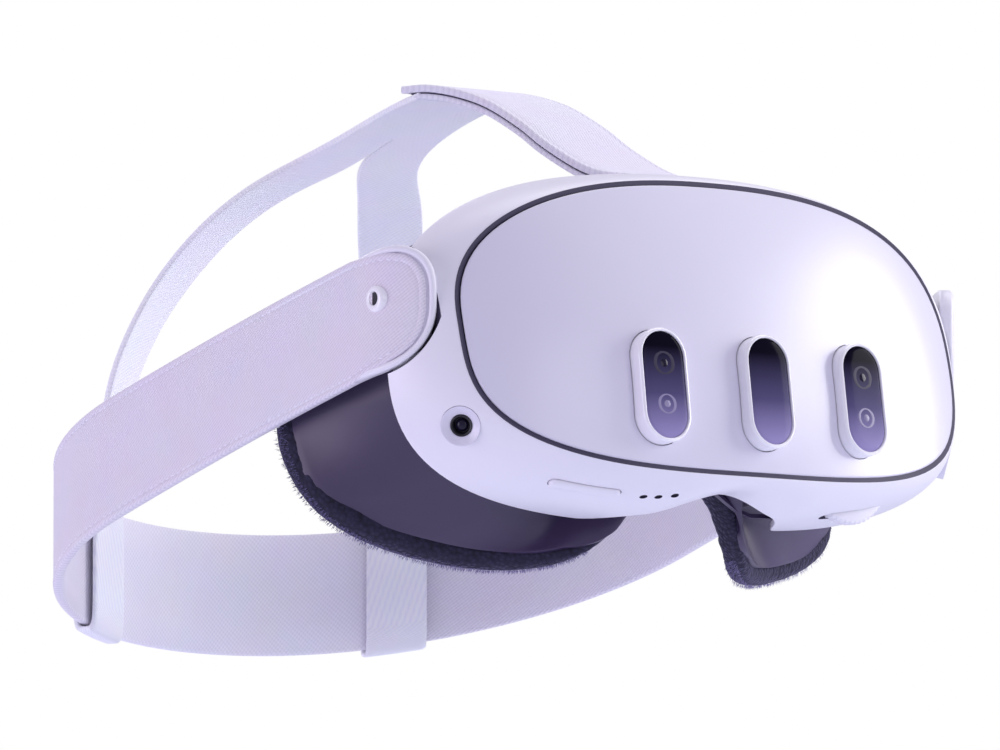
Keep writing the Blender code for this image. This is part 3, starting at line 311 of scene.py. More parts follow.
def glass_painted_reflection():
    """Dark glass with a painted reflection: its colour pales towards the lower end, in the object's own height.
    """
    glass = new_material("glass_painted_reflection", (0.01, 0.009, 0.018), 0.08)
    low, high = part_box("centre_window")
    where = node(glass, "TexCoord")
    split = node(glass, "SeparateXYZ", [("Vector", where, "Object")])
    painted_reflection_fade = node(glass, "MapRange", [("Value", split, "Z"), ("From Min", low[2]), ("From Max", high[2])])
    smear = node(glass, "TexNoise", [("Vector", where, "Object"), ("Scale", 30.0), ("Detail", 4.0)])
    spread = node(glass, "MapRange", [("Value", smear, "Fac"), ("To Min", 0.05), ("To Max", 0.12)])
    # painted reflection: the base colour runs from near black at the top to pale lilac at the bottom
    ramp = ramp_node(glass, painted_reflection_fade, "Result", (0.0, (0.33, 0.29, 0.54)), (0.42, (0.085, 0.075, 0.17)),
                     (0.86, (0.004, 0.003, 0.010)))
    join(glass, principled(glass), [
        ("Base Color", ramp, "Color"), ("Roughness", spread, "Result"), ("Specular IOR Level", 0.03),
        ("Coat Weight", 0.01), ("Coat Roughness", 0.05)])
    return glass


def plastic(name, colour, other, low, high, grain=2200.0, height=0.02, **extra):
    made = new_material(name, colour, low, **extra)
    mottled(made, colour, other, 14.0)
    grained(made, grain, height, low, high)
    return made


def make_materials():
    made = {
        "satin_white": plastic("satin_white_shell", (0.80, 0.785, 0.865), (0.84, 0.83, 0.89), 0.34, 0.42,
                               coat_weight=0.12, coat_roughness=0.35),
        "panel_white": plastic("panel_white", (0.70, 0.685, 0.80), (0.73, 0.715, 0.82), 0.26, 0.32,
                               height=0.008, coat_weight=0.35, coat_roughness=0.22),
        "gloss_white": plastic("gloss_white_plastic", (0.90, 0.89, 0.94), (0.93, 0.92, 0.96), 0.08, 0.14,
                               height=0.004, coat_weight=0.7, coat_roughness=0.05),
        "dark_plastic": plastic("dark_violet_plastic", (0.040, 0.026, 0.072), (0.054, 0.035, 0.096),
                                0.38, 0.46, grain=1500.0, height=0.03, specular=0.6),
        "liner": plastic("dark_liner", (0.010, 0.009, 0.020), (0.014, 0.012, 0.026), 0.5, 0.6),
        "seam_rubber": plastic("seam_rubber", (0.036, 0.030, 0.066), (0.045, 0.037, 0.080), 0.55, 0.7),
        "camera_black": plastic("camera_black", (0.006, 0.006, 0.009), (0.010, 0.010, 0.014), 0.3, 0.4),
        "camera_lens": plastic("camera_lens", (0.006, 0.005, 0.016), (0.012, 0.010, 0.03), 0.05, 0.1,
                               height=0.001, specular=0.25),
        "camera_ring": plastic("camera_ring", (0.030, 0.027, 0.050), (0.045, 0.040, 0.075), 0.3, 0.4,
                               specular=0.2),
        # painted highlight: the lower camera's lens and ring are pale lilac to stand in for the highlights on a
        # dark lens
        "pale_lens_painted_highlight": plastic("pale_lens_painted_highlight", (0.30, 0.27, 0.42), (0.16, 0.14, 0.26), 0.2, 0.3,
                                specular=0.4),
        "metal": plastic("formed_steel", (0.52, 0.53, 0.55), (0.60, 0.61, 0.63), 0.25, 0.42, metallic=1.0),
        "board": plastic("circuit_board", (0.015, 0.10, 0.06), (0.02, 0.14, 0.08), 0.4, 0.55),
        "black": plastic("black_plastic", (0.016, 0.016, 0.021), (0.022, 0.022, 0.028), 0.36, 0.48),
        "window_glass": glass_painted_reflection(),
        # painted sheen: the pile's fibres are far paler than the cover to stand in for light catching them
        "pile": plastic("cushion_pile_painted_sheen", (0.16, 0.14, 0.30), (0.30, 0.27, 0.48), 0.8, 0.9),
        "dark_foam": foam_cover(),
        "near_cloth": woven("side_strap_cloth", (0.84, 0.80, 0.87), (0.72, 0.68, 0.78), 0.75, 118, 0.25),
        "knit_cloth": woven("rear_strap_knit", (0.93, 0.91, 0.97), (0.83, 0.81, 0.90), 0.8, 40, 0.45),
        "crown_cloth": woven("crown_cloth", (0.97, 0.97, 1.0), (0.90, 0.90, 0.98), 0.9, 30, 0.25),
        "top_cloth": woven("top_strap_cloth", (0.83, 0.81, 0.90), (0.74, 0.72, 0.83), 0.8, 70, 0.3),
    }
    lens = new_material("clear_lens", (0.80, 0.82, 0.88), 0.03, transmission_weight=1.0, ior=1.49)
    grained(lens, 400.0, 0.0005, 0.02, 0.05)
    made["lens_glass"] = lens
    return made


MATERIALS = make_materials()


# ---- mesh helpers

def add_object(name, mesh, material, angle=40):
    mesh.materials.append(MATERIALS[material])
    mesh.shade_smooth()
    mesh.set_sharp_from_angle(angle=math.radians(angle))
    obj = bpy.data.objects.new(name, mesh)
    bpy.context.scene.collection.objects.link(obj)
    return obj


def reworked(mesh, weld=0.0, fill=False, turn=True):
    """Weld a mesh's doubled points, fill its open ends and turn its faces outwards, as asked."""
    work = bmesh.new()
    work.from_mesh(mesh)
    if weld:
        bmesh.ops.remove_doubles(work, verts=work.verts, dist=weld)
    if fill:
        bmesh.ops.holes_fill(work, edges=work.edges, sides=0)
    if turn:
        bmesh.ops.recalc_face_normals(work, faces=work.faces)
    work.to_mesh(mesh)
    work.free()
    return mesh


def finish_piece(obj, body, slot, *nodes):
    """Say what body a piece rides on and hide the CAD nodes that it stands for; the slot, its finish, is not
    used.
    """
    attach(obj, body)
    if nodes:
        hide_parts(*nodes)


def visor_piece(name, mesh, material, slot, *nodes):
    finish_piece(add_object(name, mesh, material), "visor", slot, *nodes)


def mesh_of(points, faces, uvs=None):
    """A mesh from visor millimetres; uvs are one pair for each point, in metres."""
    mesh = bpy.data.meshes.new("piece")
    mesh.from_pydata([at(*p) for p in points], [], faces)
    if uvs:
        layer = mesh.uv_layers.new(name="UVMap")
        for loop in mesh.loops:
            layer.data[loop.index].uv = uvs[loop.vertex_index]
    return reworked(mesh)


def grid_faces(rows, columns, wrap_rows=False, wrap_columns=False):
    faces = []
    for i in range(rows if wrap_rows else rows - 1):
        for j in range(columns if wrap_columns else columns - 1):
            a = i * columns + j
            b = i * columns + (j + 1) % columns
            c = (i + 1) % rows * columns + (j + 1) % columns
            d = (i + 1) % rows * columns + j
            faces.append((a, b, c, d))
    return faces


def tube_faces(rows, columns):
    """The faces of a closed tube: its wall and the caps on its two ends."""
    total = rows * columns
    return grid_faces(rows, columns, wrap_columns=True) + [
        tuple(range(columns)), tuple(range(total - 1, total - 1 - columns, -1))]


def face_out(mesh, middle):
    """Turn an open surface's faces away from a point inside it."""
    work = bmesh.new()
    work.from_mesh(mesh)
    work.faces.ensure_lookup_table()
    first = work.faces[len(work.faces) // 2]
    if first.normal.dot(first.calc_center_median() - middle) < 0:
        bmesh.ops.reverse_faces(work, faces=work.faces)
    work.to_mesh(mesh)
    work.free()


def modifier(obj, kind, **values):
    made = obj.modifiers.new(kind.lower(), kind)
    for key, value in values.items():
        setattr(made, key, value)


def thicken(obj, thickness, even, offset, bevel, segments, corner, angle=40):
    """Turn a surface into a wall with softened edges, in millimetres."""
    modifier(obj, "SOLIDIFY", thickness=thickness * MM, offset=offset, use_even_offset=even)
    modifier(obj, "BEVEL", width=bevel * MM, segments=segments, limit_method="ANGLE",
             angle_limit=math.radians(corner))
    settle(obj, angle)


def settle(obj, angle=40):
    """Apply an object's modifiers."""
    bpy.context.view_layer.update()
    evaluated = obj.evaluated_get(bpy.context.evaluated_depsgraph_get())
    mesh = bpy.data.meshes.new_from_object(evaluated)
    obj.modifiers.clear()
    obj.data = mesh
    mesh.shade_smooth()
    mesh.set_sharp_from_angle(angle=math.radians(angle))


def cut(obj, tools):
    """Cut a piece with closed meshes, which give the walls they leave the dark seam material as painted shade
    in the gaps, and are then removed.
    """
    for mesh in tools:
        # painted shade: the cutters pass their dark seam material on to the walls of the cut
        mesh.materials.append(MATERIALS["seam_rubber"])
        tool = bpy.data.objects.new("tool", mesh)
        bpy.context.scene.collection.objects.link(tool)
        modifier(obj, "BOOLEAN", operation="DIFFERENCE", solver="EXACT", object=tool,
                 material_mode="TRANSFER")
        settle(obj)
        bpy.data.objects.remove(tool)


def spline(controls, count):
    """Even steps along a smooth curve through the control points."""
    controls = [Vector(c) for c in controls]
    ends = [2 * controls[0] - controls[1]] + controls + [2 * controls[-1] - controls[-2]]
    spans = len(controls) - 1
    points = []
    for i in range(count):
        place = spans * i / (count - 1)
        k = min(int(place), spans - 1)
        t = place - k
        a, b, c, d = ends[k:k + 4]
        points.append(0.5 * (2 * b + (c - a) * t + (2 * a - 5 * b + 4 * c - d) * t ** 2
                             + (3 * b - 3 * c + d - a) * t ** 3))
    return points


def aimed(direction, point, along=(1, 0, 0)):
    """The matrix that turns +Z to a direction and +X near another, at a point in visor mm."""
    z_axis = Vector(direction).normalized()
    y_axis = z_axis.cross(Vector(along)).normalized()
    x_axis = y_axis.cross(z_axis)
    turn = Matrix((x_axis, y_axis, z_axis)).transposed().to_4x4()
    return Matrix.Translation(at(*point)) @ turn


def local_mesh(points, faces, matrix):
    """A mesh drawn in its own millimetres and placed by a matrix."""
    mesh = bpy.data.meshes.new("piece")
    mesh.from_pydata([matrix @ (Vector(p) * MM) for p in points], [], faces)
    return reworked(mesh, weld=1e-7)


def turned(profile, matrix, segments=48):
    """A closed turned solid from radius and height pairs that start and end on the axis."""
    points = []
    for radius, height in profile:
        for i in range(segments):
            turn = 2 * math.pi * i / segments
            points.append((radius * math.cos(turn), radius * math.sin(turn), height))
    return local_mesh(points, grid_faces(len(profile), segments, wrap_columns=True), matrix)


def drill(radius, top, bottom, matrix, segments=48):
    """A plain round bar between two heights, as a cutter or a plug."""
    return turned(((0, top), (radius, top), (radius, bottom), (0, bottom)), matrix, segments)


def stadium(half_width, half_height, segments=16):
    straight = half_height - half_width
    points = []
    for side, start in ((1, 0.0), (-1, math.pi)):
        for i in range(segments + 1):
            angle = math.pi * i / segments + start
            points.append((half_width * math.cos(angle), side * straight + half_width * math.sin(angle)))
    return points


def pill(half_width, half_height, profile, matrix):
    """A pill-shaped solid: inset and height pairs, from its top face down its wall."""
    points = []
    for inset, height in profile:
        ring = stadium(max(half_width - inset, 0.01), half_height - inset)
        points += [(x, y, height) for x, y in ring]
    faces = grid_faces(len(profile), len(stadium(1, 2)), wrap_columns=True)
    return local_mesh(points, faces, matrix)


def closed_pill(half_width, half_height, profile, matrix):
    """A pill-shaped solid whose two flat ends are filled."""
    return reworked(pill(half_width, half_height, profile, matrix), fill=True)


# ---- visor surfaces

def panel_y(x, z):
    return PANEL_LEAN * z + PANEL_BOW[0] * x ** 2 + PANEL_BOW[1] * x ** 4 + PANEL_BOW[2] * z ** 2


def outline_point(angle, shape, inset=0.0):
    """X and Z on a rounded outline whose upper and lower halves have their own height and power."""
    height, power = ((shape["top"], shape["top_power"]) if math.sin(angle) >= 0
                     else (shape["bottom"], shape["bottom_power"]))
    across = abs(math.cos(angle) / (shape["half_width"] - inset)) ** power
    up = abs(math.sin(angle) / (height - inset)) ** power
    radius = (across + up) ** (-1.0 / power)
    return radius * math.cos(angle), shape["centre_z"] + radius * math.sin(angle)


def even_angles(count):
    return [2 * math.pi * (i + 0.5) / count for i in range(count)]


def notch(x, share):
    """How far the lower edge rises over the nose."""
    reach = min(abs(x) / NOTCH_HALF_WIDTH, 1.0)
    return NOTCH_HEIGHT * share * (1.0 - reach ** 2) ** 2


def shell_point(angle, share):
    """A point on the shell: share runs from 0 at the seam to 1 at the rear edge, less over the nose."""
    if math.sin(angle) < 0:
        reach = clamped((abs(outline_point(angle, SHELL_REAR)[0]) - NOSE_CUT_X) / NOSE_CUT_FADE)
        share *= 1 - NOSE_CUT * (1 - reach ** 2 * (3 - 2 * reach))
    x0, z0 = outline_point(angle, SEAM, -SEAM_HALF_GAP)
    x2, z2 = outline_point(angle, SHELL_REAR)
    side = math.cos(angle) ** 2
    below = max(-math.sin(angle), 0.0)
    y0 = panel_y(x0, z0)
    y2 = SHELL_REAR_Y + (SHELL_SIDE_REAR_Y - SHELL_REAR_Y) * side
    # The wall bends towards a corner that is most of the way out but little of the way back
    out = 0.82 + 0.10 * below - 0.10 * side
    back = 0.14 + 0.25 * side
    a, b, c = (1 - share) ** 2, 2 * share * (1 - share), share ** 2
    x = a * x0 + b * (x0 + out * (x2 - x0)) + c * x2
    y = a * y0 + b * (y0 + back * (y2 - y0)) + c * y2
    z = a * z0 + b * (z0 + out * (z2 - z0)) + c * z2
    if math.sin(angle) < 0:
        z += notch(x, share ** 1.1)
    return x, y, z


def window_matrix(side):
    """Where a window stands on the panel: its own Z points out of the glass."""
    y = WINDOW_FRONT_Y + abs(side) * WINDOW_SIDE_SETBACK
    turn = Matrix.Rotation(side * WINDOW_SIDE_TURN, 4, "Z")
    lean = Matrix.Rotation(-math.atan(PANEL_LEAN), 4, "X")
    return (Matrix.Translation(at(side * WINDOW_SPACING, y, 0.0)) @ turn @ lean
            @ Matrix.Rotation(math.radians(90), 4, "X"))


def rocker_matrix():
    place, normal = seated(ROCKER_POINT, ROCKER_OUT)
    return aimed(normal, place + normal * 0.1, ROCKER_ALONG) @ Matrix.Rotation(math.radians(90), 4, "Z")


def side_camera_matrix(side):
    place, _ = seated(SIDE_CAMERA_POINT, SIDE_CAMERA_AXIS)
    return aimed(mirrored(SIDE_CAMERA_AXIS, side), mirrored(place + Vector(SIDE_CAMERA_AXIS) * 0.1, side))


def power_matrix():
    return aimed(POWER_OUT, seated(POWER_POINT, POWER_OUT)[0])


def mirrored(point, side):
    return (side * point[0], point[1], point[2])


def make_panel():
    """The front panel: rings that close in on its middle, with three pill-shaped holes."""
    shares = [0.06 + 0.94 * (1 - (1 - i / 25) ** 1.25) for i in range(26)]
    points = []
    for share in shares:
        for angle in even_angles(SEAM_POINTS):
            x, z = outline_point(angle, SEAM, SEAM_HALF_GAP)
            x *= share
            z = SEAM["centre_z"] + (z - SEAM["centre_z"]) * share
            points.append((x, panel_y(x, z), z))
    faces = grid_faces(len(shares), SEAM_POINTS, wrap_columns=True)
    faces.append(tuple(range(SEAM_POINTS)))
    mesh = mesh_of(points, faces)
    face_out(mesh, at(0, 60, 14))
    panel = add_object("visor_front_panel", mesh, "panel_white")
    thicken(panel, PANEL_THICKNESS, True, -1.0, 0.42, 3, 50)
    hole = BEZEL_HALF_WIDTH + BEZEL_CLEARANCE, BEZEL_HALF_HEIGHT + BEZEL_CLEARANCE
    through = ((7, 12), (0, 12), (0, -12), (7, -12))
    cut(panel, [closed_pill(*hole, through, window_matrix(side)) for side in (-1, 0, 1)])
    finish_piece(panel, "visor", "satin_white", "front_panel")


def seat_mesh(side):
    """The space round an arm's end, as a closed solid through one side of the shell."""
    outline = []
    for sign in (1, -1):
        for i in range(25):
            turn = math.radians(90) * i / 24
            share = math.sin(turn) if sign > 0 else math.cos(turn)
            y = PIVOT_Y - (PIVOT_Y - ARM_TIP_Y) * share
            half = arm_half_height(y) if share < 1 else 0.0
            away = Vector((y - PIVOT_Y, sign * half + band_z(y) - band_z(PIVOT_Y)))
            away = away.normalized() * (away.length + SEAT_CLEARANCE)
            outline.append((PIVOT_Y + away.x, band_z(PIVOT_Y) + away.y))
    outline.append((PIVOT_Y + 12, band_z(PIVOT_Y) - BAND_HEIGHT / 2 - SEAT_CLEARANCE - 4))
    outline.append((PIVOT_Y + 12, band_z(PIVOT_Y) + BAND_HEIGHT / 2 + SEAT_CLEARANCE))
    points = [(side * x, y, z) for x in (SEAT_INNER_X, SEAT_OUTER_X) for y, z in outline]
    return reworked(mesh_of(points, tube_faces(2, len(outline))), weld=1e-6)


def make_shell():
    """The shell round the visor, with its seats, camera holes and openings cut through."""
    rows = 30
    points = []
    for i in range(rows):
        share = (i / (rows - 1)) ** 1.2
        points += [shell_point(angle, share) for angle in even_angles(SHELL_POINTS)]
    mesh = mesh_of(points, grid_faces(rows, SHELL_POINTS, wrap_columns=True))
    face_out(mesh, at(0, 30, 12))
    shell = add_object("visor_shell", mesh, "satin_white")
    thicken(shell, SHELL_THICKNESS, True, -1.0, 0.4, 3, 50)
    tools = [seat_mesh(side) for side in (-1, 1)]
    tools += [drill(DISH_RADIUS, 8, -8, side_camera_matrix(side)) for side in (-1, 1)]
    tools.append(closed_pill(ROCKER_HALF_WIDTH + 0.26, ROCKER_HALF_LENGTH + 0.25,
                             ((1.5, 5), (0, 5), (0, -5), (1.5, -5)), rocker_matrix()))
    tools.append(drill(POWER_RADIUS + 0.25, 8, -8, power_matrix()))
    tools.append(closed_pill(2.4, 8.6, ((1.5, 6), (0, 6), (0, -8), (1.5, -8)), wheel_slot_matrix()))
    tools += [drill(1.0, 2, -4, aimed(out, point), 24) for point, out in mic_places()]
    cut(shell, tools)
    finish_piece(shell, "visor", "satin_white", "main_shell")


def wheel_slot_matrix():
    point = (WHEEL_POINT[0], WHEEL_POINT[1] + WHEEL_WIDTH / 2, -28.0)
    return aimed((0, 0, -1), point, (0, 1, 0))


def shell_place(angle, share):
    """A point on the shell with its outward direction."""
    here = Vector(shell_point(angle, share))
    along = Vector(shell_point(angle + 0.01, share)) - here
    back = Vector(shell_point(angle, share + 0.01)) - here
    out = along.cross(back).normalized()
    if out.dot(here - Vector((0, 30, 12))) < 0:
        out = -out
    return here, out


def seated(point, out):
    """Where a control's line meets the shell, with the shell's own outward direction there."""
    start = Vector(point)
    line = Vector(out).normalized()
    found = []
    for angle in even_angles(360):
        for share in [j / 40 for j in range(1, 40)]:
            here = Vector(shell_point(angle, share)) - start
            if here.length < SEAT_SEARCH:
                found.append(((here - line * here.dot(line)).length, angle, share))
    here, normal = shell_place(*min(found)[1:])
    return start + line * (here - start).dot(normal) / line.dot(normal), normal


def mic_places():
    """The three small holes in a row beside the rocker, found on the shell by their X."""
    places = []
    for x in MIC_XS:
        angle = math.atan2(-42.0, x)
        for _ in range(6):
            here, out = shell_place(angle, 0.42)
            angle += (x - here.x) * 0.02
        places.append((tuple(here), tuple(out)))
    return places


def make_seam():
    """The dark gasket that fills the seam, a closed ring under both edges."""
    section = ((2.4, 1.4), (0.62, 1.4), (0.60, 0.15), (-0.56, 0.15), (-0.58, 1.9), (-0.9, 2.0), (-0.9, 2.7),
               (2.4, 2.7))
    points = []
    for angle in even_angles(SEAM_POINTS):
        for inset, deep in section:
            x, z = outline_point(angle, SEAM, inset)
            points.append((x, panel_y(*outline_point(angle, SEAM)) + deep, z))
    mesh = mesh_of(points, grid_faces(SEAM_POINTS, len(section), True, True))
    finish_piece(add_object("visor_seam", mesh, "seam_rubber", 30), "visor", "seam_rubber", "panel_gasket")


def make_windows():
    """The three raised rings and the domed panes inside them."""
    rim = ((BEZEL_RIM, -0.7), (BEZEL_RIM, -0.25), (BEZEL_RIM - 0.15, -0.06), (BEZEL_RIM - 0.3, 0.0),
           (0.6, -0.02), (0.4, -0.1), (0.2, -0.26), (0.06, -0.5), (0.0, -0.85), (0.0, -7.0),
           (BEZEL_RIM, -7.0), (BEZEL_RIM, -0.7))
    dome = ((5.9, -0.10), (4.4, -0.11), (2.6, -0.14), (1.0, -0.2), (0.3, -0.3), (0.0, -0.5), (0.0, -1.9),
            (5.9, -1.9))
    for side, name in zip((-1, 0, 1), ("right", "centre", "left")):
        place = window_matrix(side)
        bezel = pill(BEZEL_HALF_WIDTH, BEZEL_HALF_HEIGHT, rim, place)
        visor_piece(f"{name}_bezel_ring", bezel, "gloss_white", "gloss_white", f"{name}_bezel")
        inner = BEZEL_RIM + 0.06
        pane = closed_pill(BEZEL_HALF_WIDTH - inner, BEZEL_HALF_HEIGHT - inner, dome, place)
        visor_piece(f"{name}_window_pane", pane, "window_glass", "window_glass", f"{name}_window")
        if side:
            make_window_lenses(name, place)
        else:
            make_depth_emitter(place)


def make_window_lenses(name, place):
    """The two cameras of an outer window, as rings and lenses set in the glass."""
    # the tracking camera's ring and lens are pale: a painted highlight
    for z, size, label, rim, eye in ((UPPER_CAMERA_Z, 3.1, "colour", "camera_ring", "camera_lens"),
                                     (LOWER_CAMERA_Z, 2.7, "tracking", "pale_lens_painted_highlight", "pale_lens_painted_highlight")):
        spot = place @ Matrix.Translation(Vector((0, z, -0.12)) * MM)
        ring = turned(((0, -0.3), (size * 0.62, -0.3), (size * 0.66, 0.0), (size * 0.86, 0.03), (size, 0.0),
                       (size, -1.0), (0, -1.0)), spot)
        visor_piece(f"{name}_{label}_ring", ring, rim, "black", f"{name}_{label}_camera")
        cap = turned(((0, 0.14), (size * 0.22, 0.09), (size * 0.42, -0.04), (size * 0.6, -0.26),
                      (size * 0.6, -0.8), (0, -0.8)), spot)
        visor_piece(f"{name}_{label}_lens", cap, eye, "black")


def make_depth_emitter(place):
    """The centre window's emitter and receiver, barely visible behind its glass."""
    for z, size, label, nodes in ((8.2, 2.1, "emitter", ("depth_sensor",)), (-2.5, 2.6, "receiver", ())):
        spot = place @ Matrix.Translation(Vector((0, z, -0.5)) * MM)
        eye = turned(((0, 0.05), (size * 0.7, 0.0), (size, -0.08), (size, -0.8), (0, -0.8)), spot)
        visor_piece(f"depth_{label}", eye, "camera_lens", "black", *nodes)


def make_side_cameras():
    """The side cameras: a shallow dish round a black ring and its lens."""
    for side, name in ((-1, "right"), (1, "left")):
        place = side_camera_matrix(side)
        dish = turned(((2.75, -3.4), (2.75, -0.75), (3.3, -0.6), (4.1, -0.2), (4.6, 0.12), (4.85, 0.15),
                       (DISH_RADIUS - 0.02, -0.1), (DISH_RADIUS - 0.02, -3.4), (2.75, -3.4)), place)
        visor_piece(f"{name}_side_camera_dish", dish, "panel_white", "satin_white")
        ring = turned(((0, -1.9), (1.75, -1.9), (1.95, -0.9), (2.2, -0.5), (2.5, -0.42), (2.7, -0.55),
                       (2.72, -1.0), (2.72, -3.3), (0, -3.3)), place)
        visor_piece(f"{name}_side_camera_ring", ring, "camera_black", "black", f"{name}_side_camera")
        eye = turned(((0, -0.75), (0.6, -0.82), (1.2, -1.1), (1.6, -1.6), (1.6, -2.4), (0, -2.4)), place)
        visor_piece(f"{name}_side_camera_lens", eye, "camera_lens", "black")


def make_controls():
    """The rocker, the power button, the thumb wheel and the mesh behind the microphone holes."""
    profile = ((1.7, 0.52), (0.9, 0.5), (0.4, 0.4), (0.12, 0.2), (0, -0.1), (0, -1.6), (1.7, -1.6))
    rocker = closed_pill(ROCKER_HALF_WIDTH, ROCKER_HALF_LENGTH, profile, rocker_matrix())
    button = add_object("volume_rocker_cap", rocker, "satin_white")
    finish_piece(button, "rocker", "satin_white", "volume_rocker")
    cap = turned(((0, 0.55), (1.8, 0.52), (2.5, 0.4), (2.85, 0.15), (POWER_RADIUS, -0.3),
                  (POWER_RADIUS, -1.5), (0, -1.5)), power_matrix())
    finish_piece(add_object("power_button_cap", cap, "satin_white"), "power", "satin_white", "power_button")
    make_thumb_wheel()
    cup = closed_pill(ROCKER_HALF_WIDTH + 0.58, ROCKER_HALF_LENGTH + 0.5, ((2.2, -0.9), (0, -0.9), (0, -2.4),
                      (2.2, -2.4)), rocker_matrix())
    visor_piece("rocker_cup", cup, "panel_white", "satin_white")
    for i, (point, out) in enumerate(mic_places()):
        visor_piece(f"mic_mesh_{i}", drill(1.15, -0.45, -1.6, aimed(out, point), 20), "liner", "dark_plastic")


def make_thumb_wheel():
    """A wheel with a knurled rim on the lens-spacing axle."""
    count = 240
    levels = ((0.0, 0.8), (0.25, 0.25), (0.6, 0.0), (3.0, 0.0), (3.35, 0.25), (3.6, 0.8))
    points = []
    for height, inset in levels:
        for i in range(count):
            turn = 2 * math.pi * i / count
            ridge = WHEEL_RIDGE * max(math.cos(turn * WHEEL_RIDGES), -0.4) if inset < 0.5 else 0.0
            radius = WHEEL_RADIUS - 0.24 - inset + ridge
            points.append((WHEEL_POINT[0] + radius * math.cos(turn), WHEEL_POINT[1] + height,
                           WHEEL_POINT[2] + radius * math.sin(turn)))
    wheel = add_object("thumb_wheel", mesh_of(points, tube_faces(len(levels), count)), "satin_white")
    finish_piece(wheel, "wheel", "satin_white", "ipd_wheel")
    pinion = drill(3.0, 6.2, 3.4, aimed((0, 1, 0), WHEEL_POINT))
    finish_piece(add_object("thumb_wheel_pinion", pinion, "black"), "wheel", "satin_white")


# ---- facial interface

def face_ring(count_half):
    half = spline(FACE_RING, count_half)
    other = [Vector((-p.x, p.y, p.z)) for p in half[-2:0:-1]]
    return half + other


def frame_rim(point):
    """The frame's edge, drawn in from the cushion below and reaching further back beside the eyes."""
    low = clamped((-20.0 - point.z) / 12.0) * clamped((abs(point.x) - 20.0) / 10.0)
    side = clamped((abs(point.x) - 58.0) / 18.0)
    return point + Vector((0.0, 2.8 * side, 3.4 * low))


def make_interface():
    """The dark frame: a skirt inside the visor that flares out to follow the face."""
    face = [frame_rim(point) for point in face_ring(110)]
    shares = [i / 4 for i in range(5)] + [1.0 + (i + 1) / 14 for i in range(14)]
    points = []
    for share in shares:
        for point in face:
            angle = math.atan2(point.z - SKIRT["centre_z"], point.x)
            x, z = outline_point(angle, SKIRT)
            if math.sin(angle) < 0:
                z += notch(x, SKIRT_NOTCH)
            end = min(SKIRT_REAR_Y, point.y - 4.0)
            start = min(SKIRT_FRONT_Y, end - 4.0)
            if share <= 1.0:
                points.append((x, start + share * (end - start), z))
                continue
            t = share - 1.0
            bulge = FRAME_BULGE * math.sin(math.pi * t) * clamped(abs(point.x) / 12 - 2)
            drop = bulge if point.z < 0 else 0.0
            points.append((x + (point.x - x) * t, end + (point.y - end) * t, z + (point.z - z) * t - drop))
    mesh = mesh_of(points, grid_faces(len(shares), len(face), wrap_columns=True))
    face_out(mesh, at(0, 40, 5))
    body = add_object("interface_frame", mesh, "dark_plastic")
    thicken(body, FRAME_THICKNESS, False, -1.0, 0.4, 2, 60)
    finish_piece(body, "interface", "dark_plastic", "facial_interface")


def cushion_section(wide, deep):
    """Across and back distances round the cushion's section, a soft D."""
    points = []
    for i in range(CUSHION_COLUMNS):
        turn = 2 * math.pi * i / CUSHION_COLUMNS
        across = (wide - 1.0) / 2 + (wide + 1.0) / 2 * signed_power(math.cos(turn), 0.8)
        points.append((across, deep / 2 + deep / 2 * signed_power(math.sin(turn), 0.8)))
    return points


def flat_unit(vector, towards):
    """A direction across the visor's front, turned to the side of another."""
    vector.y = 0
    return (-vector if vector.dot(towards) < 0 else vector).normalized()


def make_cushion():
    """The face cushion: a padded D-section round the frame's edge, slimmer at the nose."""
    face = face_ring(90)
    count = len(face)
    points = []
    for i, point in enumerate(face):
        tangent = (face[(i + 1) % count] - face[i - 1]).normalized()
        inward = flat_unit(Vector((0, 1, 0)).cross(tangent), Vector((-point.x, 0, 12 - point.z)))
        narrow = 0.3 + 0.7 * clamped((abs(point.x) - 26) / 24) if point.z < -10 else 1.0
        start = point + Vector((0, 0.9, 0))
        for across, back in cushion_section(CUSHION_WIDTH * narrow, CUSHION_DEPTH):
            points.append(start + inward * across + Vector((0, back, 0)))
    mesh = mesh_of(points, grid_faces(count, CUSHION_COLUMNS, True, True))
    cushion = add_object("face_cushion_cover", mesh, "dark_foam", 80)
    inflate(cushion, 1.2)
    finish_piece(cushion, "interface", "dark_foam", "face_cushion")


def make_fringe():
    """Short pile standing out along the outer edge of the cushion's cover; the fibres are real, their pale
    colour is painted sheen.
    """
    face = face_ring(110)
    count = len(face)
    points, faces = [], []
    rng = np.random.default_rng(7)
    for _ in range(PILE_COUNT):
        place = rng.uniform(0, count)
        i = int(place)
        here = face[i].lerp(face[(i + 1) % count], place - i)
        tangent = (face[(i + 1) % count] - face[i]).normalized()
        outward = flat_unit(tangent.cross(Vector((0, 1, 0))), Vector((here.x, 0, here.z - 5)))
        if here.z > 28 or here.z < -12 and abs(here.x) < 24:
            continue
        root = here + outward * rng.uniform(0.7, 1.0) + Vector((0, rng.uniform(3.5, 8.0), 0))
        lean = outward + Vector(rng.normal(0, 0.13, 3)) + Vector((0, 0.3, 0))
        tip = root + lean.normalized() * rng.uniform(0.6, 1.15)
        base = len(points)
        side = tangent * 0.075
        up = lean.cross(tangent).normalized() * 0.075
        points += [root + side, root - side, root + up, tip]
        faces += [(base, base + 1, base + 3), (base + 1, base + 2, base + 3), (base + 2, base, base + 3),
                  (base, base + 2, base + 1)]
    # the pile's pale colour is painted sheen on real fibres
    fringe = add_object("face_cushion_pile", mesh_of(points, faces), "pile")
    finish_piece(fringe, "interface", "dark_foam")


